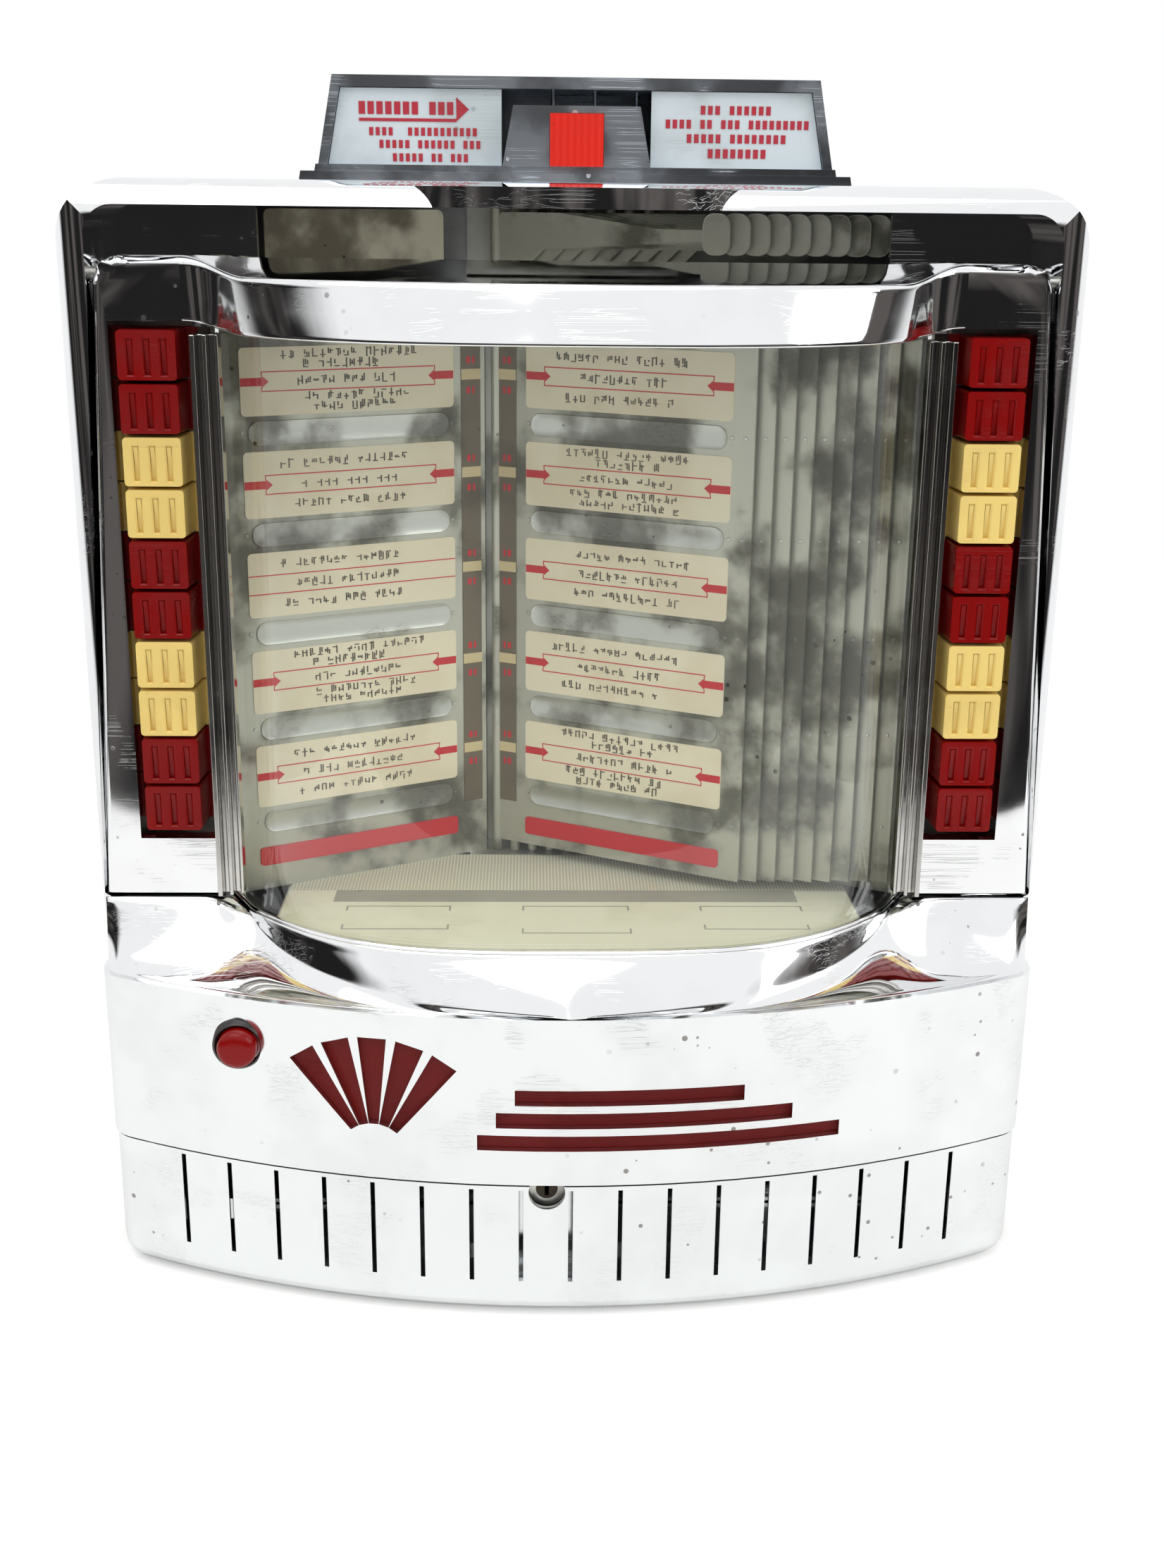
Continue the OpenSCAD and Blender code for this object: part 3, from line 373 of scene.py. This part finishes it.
glass = bpy.data.materials.new("bent_glass")
glass.use_nodes = True
shader = glass.node_tree.nodes["Principled BSDF"]
shader.inputs["Transmission Weight"].default_value = 1.0
shader.inputs["IOR"].default_value = 1.45
tree = glass.node_tree
place = add(tree, "TexCoord").outputs["Object"]
smear = add(tree, "TexNoise", Vector=place, Scale=22.0, Detail=5.0).outputs[0]
tree.links.new(tint(tree, smear, (0.96, 0.99, 0.95, 1), (1, 1, 1, 1)), shader.inputs["Base Color"])
tree.links.new(calc(tree, "MULTIPLY", rise(tree, smear, 0.55, 0.8), 0.06), shader.inputs["Roughness"])
shadow_ray = add(tree, "LightPath").outputs["Is Shadow Ray"]
tree.links.new(calc(tree, "SUBTRACT", 1.0, shadow_ray), shader.inputs["Alpha"])
glass_half, glass_foot, glass_top, glass_t = 110, 123.5, 322, 3
glass_section = ((0, glass_foot), (0, glass_top), (-glass_t, glass_top), (-glass_t, glass_foot),
                 (0, glass_foot))


def glass_corner(u, v):
    """Point of the glass: once round its section, all along the bow."""
    out, z = glass_section[round(v * 4)]
    return (*bow_point((2 * u - 1) * glass_half, out), z)


shape = sheet(96, 4, glass_corner)
bmesh.ops.remove_doubles(shape, verts=shape.verts, dist=0.001)
bmesh.ops.holes_fill(shape, edges=[e for e in shape.edges if e.is_boundary], sides=0)
window = piece("bent_window", shape, glass, "door")
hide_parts("window_glass")

# ---- Glass channels ----
# Each end of the glass stands in a drawn chromed channel with two ribs on its face.
# The channels run up the sides of the door, from the sill to the visor.

rib_plan = ((116.2, -26), (116.2, -40), (114.6, -40), (114.2, -36), (112.9, -36), (112.5, -38.8),
            (111.3, -38.8), (110.9, -35.2), (109.4, -35.2), (109.0, -37.2), (108.0, -37.2), (108.0, -26),
            (116.2, -26))
channel_foot, channel_h = 130, 180.3
dark_chrome = finish("dark_chrome", (0.6, 0.59, 0.57), 1.0, 0.08, soil=(0.04, 0.03, 0.02), scratches=0.1,
                     spots=0.2, haze=0.3, bump=0.00001)
shape = bmesh.new()
for side in (-1, 1):
    line = [(side * x, y) for x, y in rib_plan]
    part = sheet(len(line) - 1, 1, lambda u, v: (*line[round(u * (len(line) - 1))],
                                                 channel_foot + channel_h * v))
    bmesh.ops.remove_doubles(part, verts=part.verts, dist=0.001)
    bmesh.ops.holes_fill(part, edges=[e for e in part.edges if e.is_boundary], sides=0)
    data = bpy.data.meshes.new("rib")
    part.to_mesh(data)
    shape.from_mesh(data)
    bpy.data.meshes.remove(data)
channels = soften(piece("ribbed_channels", shape, dark_chrome, "door"), 0.35, 2)
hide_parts("glass_channels")

# ---- Sill ----
# The sill under the glass is a chromed casting at the door's foot.
# Its middle slopes down to a ridge, and its ends hollow out into two ears.

chin_r, chin_cy, corner_r, corner_x = 345, 257, 12, 142
corner_angle = math.asin(corner_x / (chin_r - corner_r))
corner_cy = chin_cy - (chin_r - corner_r) * math.cos(corner_angle)


def between(table, x):
    """Straight reading between the rows of a table."""
    for (x0, y0), (x1, y1) in zip(table, table[1:]):
        if x <= x1:
            share = max(0, (x - x0) / (x1 - x0))
            return y0 + (y1 - y0) * share
    return table[-1][1]


def front_y(x, inside):
    """Chin's front in plan, at a distance inside it."""
    reach = (chin_r - inside) * math.sin(corner_angle)
    if abs(x) < reach:
        return chin_cy - math.sqrt((chin_r - inside) ** 2 - x * x)
    return corner_cy - math.sqrt(max(0, (corner_r - inside) ** 2 - (abs(x) - corner_x) ** 2))


crest_heights = ((0, 108), (60, 110.9), (85, 114), (98, 117), (108, 123), (118, 129.2), (160, 129.2))
collar_heights = ((0, 125.3), (106, 125.3), (115, 129.2), (160, 129.2))


lip_y, lip_z = (0, 0.48, 0.62, 1.3), (103.5, 105.6, 106.1, 107.3)
sill_half, ridge_z, collar_w, collar_drop = 153.4, 108, 3.4, 2.2
crest_row, collar_row, last_row = 22, 36, 46


def collar_line(x):
    """Depth of the glass's foot in plan."""
    return min(bow_y(x) - 0.4, -25)


def sill_corner(u, v):
    """Point of the sill: lip, slope up to the crest, hollow, then two beads at the glass."""
    x = (2 * u - 1) * sill_half
    y0, crest_y = front_y(x, 0.6), min(bow_y(x) - 15.5 + 0.1 * abs(x), -38)
    collar_y = collar_line(x)
    crest_z, collar_z = between(crest_heights, abs(x)), between(collar_heights, abs(x))
    row = round(v * last_row)
    if row < len(lip_y):
        return (x, y0 + lip_y[row], lip_z[row])
    if row <= crest_row:
        w = (row - len(lip_y)) / (crest_row - len(lip_y))
        return (x, y0 + 2.4 + (crest_y - y0 - 2.4) * w, ridge_z + (crest_z - ridge_z) * w ** 1.7)
    w = (row - crest_row) / (collar_row - crest_row)
    if w <= 1:
        bulge = math.sin(math.pi * w) * max(0, 1 - abs(x) / bow_half)
        return (x, crest_y + (collar_y - collar_w - crest_y) * w,
                crest_z + (collar_z - collar_drop - crest_z) * w + bulge)
    w = (row - collar_row) / (last_row - collar_row)
    bead = abs(math.sin(w * math.tau)) * 0.9
    return (x, collar_y - collar_w + collar_w * w + (3 if w > 0.95 else 0),
            collar_z - collar_drop + 1.3 * w + bead)


shape = sheet(150, last_row, sill_corner)
edge = {v for e in shape.edges if e.is_boundary for v in e.verts}
loose = [v for v in shape.verts if v not in edge and v.co.z > ridge_z + 0.2 and abs(v.co.x) < 152
         and v.co.y < collar_line(v.co.x) - collar_w - 0.4]
for _ in range(6):
    bmesh.ops.smooth_vert(shape, verts=loose, factor=0.5, use_axis_x=False, use_axis_y=True, use_axis_z=True)
sill = piece("sill", shape, chrome, "door", sharp=65)
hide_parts("sill_casting")

# ---- Chin with its ornament ----
# The chin is a curved chromed sheet with cut-outs over a dark red inlay.
# A round red push button comes through it at the left.

satin_chrome = finish("satin_chrome", (0.85, 0.87, 0.88), 1.0, 0.13, scratches=0.4, spots=0.7, haze=0.15,
                      bump=0.00003)
dress(satin_chrome, "chin_panel")
inlay_red = finish("inlay_red", (0.15, 0.006, 0.005), 0.0, 0.35, soil=(0.06, 0.003, 0.003), haze=0.5,
                   Specular_IOR_Level=0.2)
dress(inlay_red, "ornament_inlay")
moulded_red = finish("moulded_red", (0.22, 0.001, 0.001), 0.0, 0.22, soil=(0.12, 0.001, 0.001), scratches=0.3,
                     spots=0.4, haze=0.5, Specular_IOR_Level=0.25)


def lathe(shape, profile, centre, segments=48):
    """Turned shape about an axis along Y, from points of radius and depth."""
    line = [shape.verts.new((centre[0] + r, y, centre[1])) for r, y in profile]
    edges = [shape.edges.new(pair) for pair in zip(line, line[1:])]
    bmesh.ops.spin(shape, geom=line + edges, cent=(centre[0], 0, centre[1]), axis=(0, 1, 0), dvec=(0, 0, 0),
                   angle=math.tau, steps=segments, use_merge=True)
    bmesh.ops.remove_doubles(shape, verts=shape.verts, dist=0.001)


button_at = (-106.5, 91.9)
low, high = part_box("cancel_button")
y0, y1 = low.y * 1000, high.y * 1000
shape = bmesh.new()
lathe(shape, ((0, y0), (3.4, y0 + 0.1), (4.9, y0 + 0.5), (5.9, y0 + 1.2), (6.3, y0 + 2.2), (6.3, y1 - 15),
              (8.0, y1 - 15), (8.0, y1 - 14), (2.5, y1 - 14), (2.5, y1), (0, y1)), button_at)
button = piece("round_button", shape, moulded_red, "cancel_button", sharp=50)
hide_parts("cancel_button")
black_ring = finish("black_ring", (0.02, 0.015, 0.015), 0.0, 0.35)
shape = bmesh.new()
ring_y = front_y(button_at[0], 0)
lathe(shape, ((6.6, ring_y - 1.6), (7.4, ring_y - 2.4), (8.1, ring_y - 1.8), (8.4, ring_y + 2.6),
              (6.6, ring_y + 2.6), (6.6, ring_y - 1.6)), button_at)
ring = piece("button_ring", shape, black_ring, "door", sharp=50)

# ---- Slotted panel and lock ----
# The lower panel is a second chromed sheet with a row of upright slots.
# A cylinder lock in its middle holds the door shut.

dress(satin_chrome, "slot_panel")
lock_steel = finish("lock_steel", (0.55, 0.54, 0.5), 1.0, 0.3, soil=(0.1, 0.08, 0.05), haze=0.7)
# The lock plug's brass is darkened nearly to black: painted shade that stands in for the dark keyhole notch.
brass_plug_painted_shade = finish("brass_plug_painted_shade", (0.06, 0.05, 0.035), 0.8, 0.5, haze=0.6)
dress(lock_steel, "lock_barrel")
dress(brass_plug_painted_shade, "lock_plug")

# ---- Buttons ----
# Each button is a moulded cap with three finger grooves on a flange and a square stem.
# Pairs of red and cream caps follow one another down both columns.

moulded_cream = finish("moulded_cream", (0.84, 0.63, 0.2), 0.0, 0.3, soil=(0.45, 0.28, 0.07), scratches=0.3,
                       spots=0.3, haze=0.6, Specular_IOR_Level=0.35)


def slab(shape, low, high, corner=0.0, axis=1, segments=4):
    """Box between two corners, with its edges along an axis rounded."""
    low, high = Vector(low), Vector(high)
    made = bmesh.ops.create_cube(shape, size=1.0, matrix=Matrix.Translation((low + high) / 2)
                                 @ Matrix.Diagonal((*(high - low), 1)))["verts"]
    if corner:
        edges = dict.fromkeys(e for v in made for e in v.link_edges)
        edges = [e for e in edges if abs((e.verts[0].co - e.verts[1].co).normalized()[axis]) > 0.9]
        bmesh.ops.bevel(shape, geom=edges, offset=corner, segments=segments, affect="EDGES", profile=0.5,
                        material=-1)


key_x, key_front, key_top, key_pitch = 129.5, -38, 304, 16
flange_y, flange_t, stem_back = 14.5, 3, 32


def cap_shape():
    """A cap facing -Y with three grooves, on its flange and stem."""
    columns = (-8.9, -5.8, -4.4, -0.7, 0.7, 4.4, 5.8, 8.9)
    rows = (-7.4, -5.8, 4.6, 7.4)
    shape = sheet(7, 3, lambda u, v: (columns[round(u * 7)], 0, rows[round(v * 3)]))
    grooves = [f for f in shape.faces if abs(f.calc_center_median().z + 0.6) < 1
               and any(abs(f.calc_center_median().x - x) < 0.3 for x in (-5.1, 0, 5.1))]
    bmesh.ops.inset_individual(shape, faces=grooves, thickness=0.62, depth=0.0)
    for face in grooves:
        for corner in face.verts:
            corner.co.y += 1.2
    edges = [e for e in shape.edges if e.is_boundary]
    grown = bmesh.ops.extrude_edge_only(shape, edges=edges)["geom"]
    for corner in (g for g in grown if isinstance(g, bmesh.types.BMVert)):
        corner.co.x *= 9.8 / 8.9
        corner.co.z *= 7.7 / 7.4
        corner.co.y = flange_y
    rim = [e for e in shape.edges if all(v.co.y < 0.01 for v in e.verts) and e.calc_face_angle(0) > 1.2]
    sides = [e for e in shape.edges if abs(e.verts[0].co.y - e.verts[1].co.y) > 10
             and all(abs(v.co.x) > 8.8 and abs(v.co.z) > 7.3 for v in e.verts)]
    bmesh.ops.bevel(shape, geom=rim + sides, offset=1.1, segments=3, affect="EDGES", profile=0.5, material=-1)
    slab(shape, (-12.7, flange_y, -7.7), (12.7, flange_y + flange_t, 7.7))
    slab(shape, (-3, flange_y + flange_t - 0.5, -3), (3, stem_back, 3))
    return shape


for column, side in (("left", -1), ("right", 1)):
    for i in range(10):
        shape = cap_shape()
        bmesh.ops.translate(shape, vec=(side * key_x, key_front, key_top - key_pitch * i), verts=shape.verts)
        is_red = i // 2 % 2 == 0
        name = "%s_%d" % (column, i + 1)
        plastic = moulded_red if is_red else moulded_cream
        cap = piece("cap_" + name, shape, plastic, "key_" + name, sharp=28)
        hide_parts("key_" + name)
bakelite = finish("bakelite", (0.12, 0.06, 0.03), 0.0, 0.4)
dress(bakelite, "contact_banks")

# ---- Pages ----
# Pages are stamped sheet-metal leaves on upright pivots. Paper title strips slide in
# under pressed bars, and an index strip runs down beside the spine.

leaf_metal = finish("leaf_metal", (0.5, 0.5, 0.43), 0.6, 0.38, soil=(0.04, 0.035, 0.02), scratches=0.8,
                    spots=1.0, haze=1.9)
bright_bar = finish("bright_bar", (0.5, 0.51, 0.48), 1.0, 0.3, soil=(0.08, 0.07, 0.05), spots=1.0, haze=1.5,
                    bump=0.0001)
tab_metal = finish("tab_metal", (0.5, 0.5, 0.46), 0.6, 0.5, soil=(0.2, 0.17, 0.12), haze=0.8)
strip_paper = finish("strip_paper", (0.83, 0.76, 0.58), 0.0, 0.75, soil=(0.6, 0.5, 0.32), scratches=0.1,
                     spots=0.25, haze=0.8, bump=0.00005)
strip_red = finish("strip_red", (0.6, 0.02, 0.03), 0.0, 0.6, soil=(0.4, 0.05, 0.05), bump=0.00003)
typed_ink = finish("typed_ink", (0.1, 0.085, 0.06), 0.0, 0.7, soil=(0.3, 0.26, 0.2), bump=0.00003,
                   haze=1.2)
index_board = finish("index_board", (0.16, 0.13, 0.09), 0.0, 0.6, soil=(0.05, 0.04, 0.03), haze=1.0,
                     spots=1.0)
index_band = finish("index_band", (0.66, 0.55, 0.32), 0.0, 0.6, soil=(0.3, 0.2, 0.1))
leaf_count, leaf_pitch, spine_y, left_page_x = 9, 6.35, 30, -30.4
rest_angle = math.radians(28.5)
strip_pitch, strip_low, strip_h = 32.84, 283.0, 21.5
# Distances in front of a page's middle: print lies on paper, paper on metal.
metal_y, paper_y, ink_y, bar_y = -0.5, -0.8, -0.86, -1.1
line_t, stroke_w, type_pitch, word_gap = 0.35, 0.5, 2.7, 2.6


def typed_row(shape, start, end, z, seed, height=3.1):
    """A row of marks like worn typing: small strokes in words, without letters."""
    at, word = start, 0
    while at < end:
        seed = (seed * 7919 + 101) % 10007
        if word == 0:
            word = 3 + seed % 6
            at += word_gap
        for k in range(3):
            if seed >> k & 1 or k == seed % 3:
                left = at + 0.68 * k
                slab(shape, (left, ink_y, z + height * (seed >> k & 3) / 7),
                     (left + stroke_w, paper_y, z + height * (1 - (seed >> k + 2 & 3) / 8)))
        level = z + height * (seed % 7) / 7.5
        slab(shape, (at, ink_y, level), (at + 1.78, paper_y, level + 0.36))
        at += type_pitch
        word -= 1


def pointer(shape, base, tip, z, half, near, far):
    """Flat triangle that points sideways from its base to its tip."""
    at = [shape.verts.new(place) for y in (near, far)
          for place in ((base, y, z - half), (base, y, z + half), (tip, y, z))]
    for face in ((0, 1, 2), (3, 5, 4), (0, 3, 4, 1), (1, 4, 5, 2), (2, 5, 3, 0)):
        shape.faces.new([at[i] for i in face])


def hollow_front(shape, margin, depth):
    """Sinks the foremost large face inside a margin."""
    face = min(shape.faces, key=lambda f: (round(f.calc_center_median().y, 3), -f.calc_area()))
    bmesh.ops.inset_individual(shape, faces=[face], thickness=margin, depth=0.0)
    for corner in face.verts:
        corner.co.y += depth


def on_page(shape, x, side, front):
    """Lays a page's dressing, drawn along +X and facing -Y, on its leaf."""
    if not front:
        bmesh.ops.scale(shape, vec=(1, -1, 1), verts=shape.verts)
    if side < 0:
        bmesh.ops.scale(shape, vec=(-1, 1, 1), verts=shape.verts)
    turn = Matrix.Rotation(-side * rest_angle, 3, "Z")
    bmesh.ops.rotate(shape, cent=(0, 0, 0), matrix=turn, verts=shape.verts)
    bmesh.ops.translate(shape, vec=(x, spine_y, 0), verts=shape.verts)
    return shape


def title_frame(shape, left, right, middle):
    """Red frame round a strip's middle line, with an arrow into each end."""
    for level in (-3.2, 2.9):
        slab(shape, (left + 6.9, ink_y, middle + level), (right - 6.9, paper_y, middle + level + line_t))
    for start, base, tip in ((left + 0.1, left + 7, left + 9.3), (right - 0.1, right - 7, right - 9.3)):
        slab(shape, (min(start, base), ink_y, middle - 1.3), (max(start, base), paper_y, middle + 1.3))
        pointer(shape, base, tip, middle, 1.95, ink_y, paper_y)
        for level in (-3.2, 1.75):
            slab(shape, (base - 0.17, ink_y, middle + level), (base + 0.17, paper_y, middle + level + 1.5))


def dress_page(label, x, side, front, body, seed):
    """Strips, bars, index and print on one face of a page."""
    strips, bars, print_red, ink, index, bands = (bmesh.new() for _ in range(6))
    left, right = (11, 85.5) if side < 0 else (12, 87.6)
    rivets = (left + 0.2, right - 0.8) if side < 0 else (left + 0.2, right - 0.8, 91.5)
    for k in range(5):
        z = strip_low - strip_pitch * k
        middle = z + strip_h / 2
        slab(strips, (left, paper_y, z), (right, metal_y, z + strip_h), 1.5)
        slab(bars, (left + 2, bar_y, z - 9.4), (right - 2, metal_y, z - 1.6), 3.6, segments=6)
        hollow_front(bars, 1.3, 0.35)
        for at in rivets:
            slab(bars, (at, -0.9, z - 5.9), (at + 1.3, metal_y, z - 4.6), 0.5)
        if side < 0 and k == 2:
            for level in (-3.2, 3.0):
                slab(print_red, (left + 0.1, ink_y, middle + level),
                     (right - 0.1, paper_y, middle + level + line_t))
        else:
            title_frame(print_red, left, right, middle)
        spread = (seed * 31 + k * 17) % 13
        full = (seed + k) % 3 == 0
        typed_row(ink, 20 + spread, 70 + spread / 2, z + (17.7 if full else 15.9), seed + k)
        typed_row(ink, 30, 64 + spread / 2, middle - 1.5, seed + k + 20)
        typed_row(ink, 24 + spread / 2, 62 + spread, z + (4.2 if full else 2.6), seed + k + 40)
        if full:
            typed_row(ink, 30, 60 + spread, z + 0.9, seed + k + 60)
            typed_row(ink, 36, 62, z + 14.4, seed + k + 80)
        slab(bands, (0.9, -1.0, middle - 1.9), (8.1, -0.7, middle + 1.6))
        for level in (-6.6, 3.4):
            slab(print_red, (3.2, -0.95, middle + level), (4.0, -0.7, middle + level + 2.4))
            slab(print_red, (4.8, -0.95, middle + level), (6.2, -0.7, middle + level + 2.4), 0.6)
    slab(index, (0.9, -0.85, 142), (8.1, metal_y, 320))
    slab(print_red, (left, -1.0, 130.5), (right, metal_y, 137), 1.2)
    for kind, shape, material, slot in (("strips", strips, strip_paper, "card"),
                                        ("bars", bars, bright_bar, "leaf_metal"),
                                        ("print", print_red, strip_red, "red_enamel"),
                                        ("typing", ink, typed_ink, "card"),
                                        ("index", index, index_board, "brown_board"),
                                        ("bands", bands, index_band, "card")):
        made = piece("%s_%s" % (label, kind), on_page(shape, x, side, front), material, body)
        if kind == "bars":
            soften(made, 0.5, 2, 50)


dress(leaf_metal, "end_pages", *["leaf_%d" % number for number in range(1, leaf_count + 1)])
dress_page("left_page", left_page_x, -1, True, "box", 3)
for number in range(1, leaf_count + 1):
    leaf = "leaf_%d" % number
    x = (number - (leaf_count + 1) // 2) * leaf_pitch
    dress_page(leaf + "_front", x, 1, True, leaf, 5 + 3 * number)
    dress_page(leaf + "_back", x, 1, False, leaf, 7 + 3 * number)
    shape = bmesh.new()
    slab(shape, (74.9, -0.8, 333.9), (84.1, 0.8, 346.6), 3.6, segments=6)
    hollow_front(shape, 0.9, 0.9)
    tab = soften(piece("finger_tab_%d" % number, on_page(shape, x, 1, True), tab_metal, leaf), 0.35, 2)
stained_plate = finish("stained_plate", (0.56, 0.53, 0.42), 0.2, 0.5, soil=(0.07, 0.05, 0.03), spots=2.0,
                       haze=2.2)
shape = bmesh.new()
slab(shape, (14, -0.5, 322), (76, 0.5, 346.5), 2.0)
plate = piece("left_page_plate", on_page(shape, left_page_x, -1, True), stained_plate, "box")

# ---- Card at the foot of the pages ----
# A printed card lies on a steel shelf below the pages: a grid of dots at the back,
# a grey band and three outlined boxes in front.

card_colour, dot_colour, dot_rate = (0.8, 0.79, 0.6), (0.42, 0.41, 0.33), 2700
card_print = finish("card_print", card_colour, 0.0, 0.6, soil=(0.6, 0.55, 0.35), spots=0.2, haze=0.8)
tree = card_print.node_tree
split = add(tree, "SeparateXYZ", Vector=add(tree, "TexCoord").outputs["Object"])
dots = calc(tree, "MULTIPLY", calc(tree, "SINE", calc(tree, "MULTIPLY", split.outputs[0], dot_rate)),
            calc(tree, "SINE", calc(tree, "MULTIPLY", split.outputs[1], dot_rate)))
dots = calc(tree, "MULTIPLY", rise(tree, calc(tree, "ABSOLUTE", dots), 0.25, 0.5),
            rise(tree, split.outputs[1], -0.0125, -0.0121))
tree.links.new(tint(tree, dots, (*card_colour, 1), (*dot_colour, 1)), tree.nodes["wear"].inputs["Colour"])
dress(card_print, "program_card")
card_ink = finish("card_ink", (0.36, 0.35, 0.27), 0.0, 0.6)
card_z, ink_z, line_w = 122.0, 122.12, 0.5
shape = bmesh.new()
slab(shape, (-80, -23.1, card_z), (78, -12.4, ink_z))
for left, right, foot in ((-75, -40, -47), (-16, 20, -50.5), (44, 78.5, -47)):
    slab(shape, (left, -27 - line_w, card_z), (right, -27, ink_z))
    for at in (left, right - 0.6):
        slab(shape, (at, foot, card_z), (at + 0.6, foot + 3.5, ink_z))
        slab(shape, (at, -31, card_z), (at + 0.6, -27, ink_z))
    slab(shape, (left, foot - line_w, card_z), (right, foot, ink_z))
piece("card_lines", shape, card_ink, "box")

# ---- Sign with the coin entry ----
# The lit sign is a chromed hood with two enamelled windows, and a coin block between
# them that holds a red fluted insert. The coin falls down a chute to the cash box.

sign_chrome = finish("sign_chrome", (0.62, 0.68, 0.75), 1.0, 0.16, soil=(0.6, 0.62, 0.64), scratches=0.3,
                     spots=2.0, haze=0.5, bump=0.00004)
dress(sign_chrome, "sign_hood", "coin_block")
window_enamel = finish("window_enamel", (0.62, 0.69, 0.72), 0.0, 0.35, soil=(0.3, 0.33, 0.33),
                       scratches=0.3, spots=0.8, haze=1.0)
dress(window_enamel, "sign_windows")
insert_red = finish("insert_red", (0.75, 0.02, 0.008), 0.0, 0.3, soil=(0.4, 0.01, 0.01),
                    Specular_IOR_Level=0.3)
dress(insert_red, "coin_insert")
sign_red = finish("sign_red", (0.45, 0.02, 0.04), 0.0, 0.5)
print_front, print_back = -18.6, -18.4
shape = bmesh.new()


def sign_row(left, right, z, tall, wide, gap, words):
    """A row of plain bars, with gaps at the counts that part its words."""
    at, count = left, 0
    while at < right:
        count += 1
        if count not in words:
            slab(shape, (at, print_front, z), (at + wide, print_back, z + tall))
        at += wide + gap


sign_row(-65.5, -38, 374.0, 3.6, 1.9, 0.75, (8,))
slab(shape, (-65.5, print_front, 372.0), (-36.2, print_back, 372.9))
pointer(shape, -36.2, -32.4, 375.6, 3.4, print_front, print_back)
sign_row(-62.5, -29.5, 368.0, 2.3, 1.2, 0.75, (5, 6))
sign_row(-59.5, -29, 364.4, 2.3, 1.2, 0.75, (6, 13))
sign_row(-55.5, -33, 360.6, 2.3, 1.2, 0.75, (6, 9))
sign_row(37.5, 58, 375.0, 2.5, 1.4, 0.8, (4,))
sign_row(27, 69.5, 371.0, 2.5, 1.35, 0.75, (5, 8, 12))
sign_row(33.5, 63.5, 366.9, 2.5, 1.4, 0.8, (6,))
sign_row(40, 57, 362.6, 2.6, 1.5, 0.8, ())
piece("sign_print", shape, sign_red, "box")
lamp_glass = finish("lamp_glass", (0.9, 0.87, 0.75), 0.0, 0.15)
dress(lamp_glass, "sign_lamp")
dress(plate_steel, "coin_chute", "cash_box")

# ---- Scanning works ----
# Behind the chassis plate a small motor turns a wiper over a ring of contacts,
# which finds the button that was pushed.

motor_black = finish("motor_black", (0.03, 0.03, 0.035), 0.3, 0.45, soil=(0.12, 0.1, 0.08))
dress(motor_black, "scan_motor")
brass = finish("brass", (0.62, 0.47, 0.2), 1.0, 0.3, haze=0.6)
dress(brass, "wiper_arm")
dress(bakelite, "contact_disc")
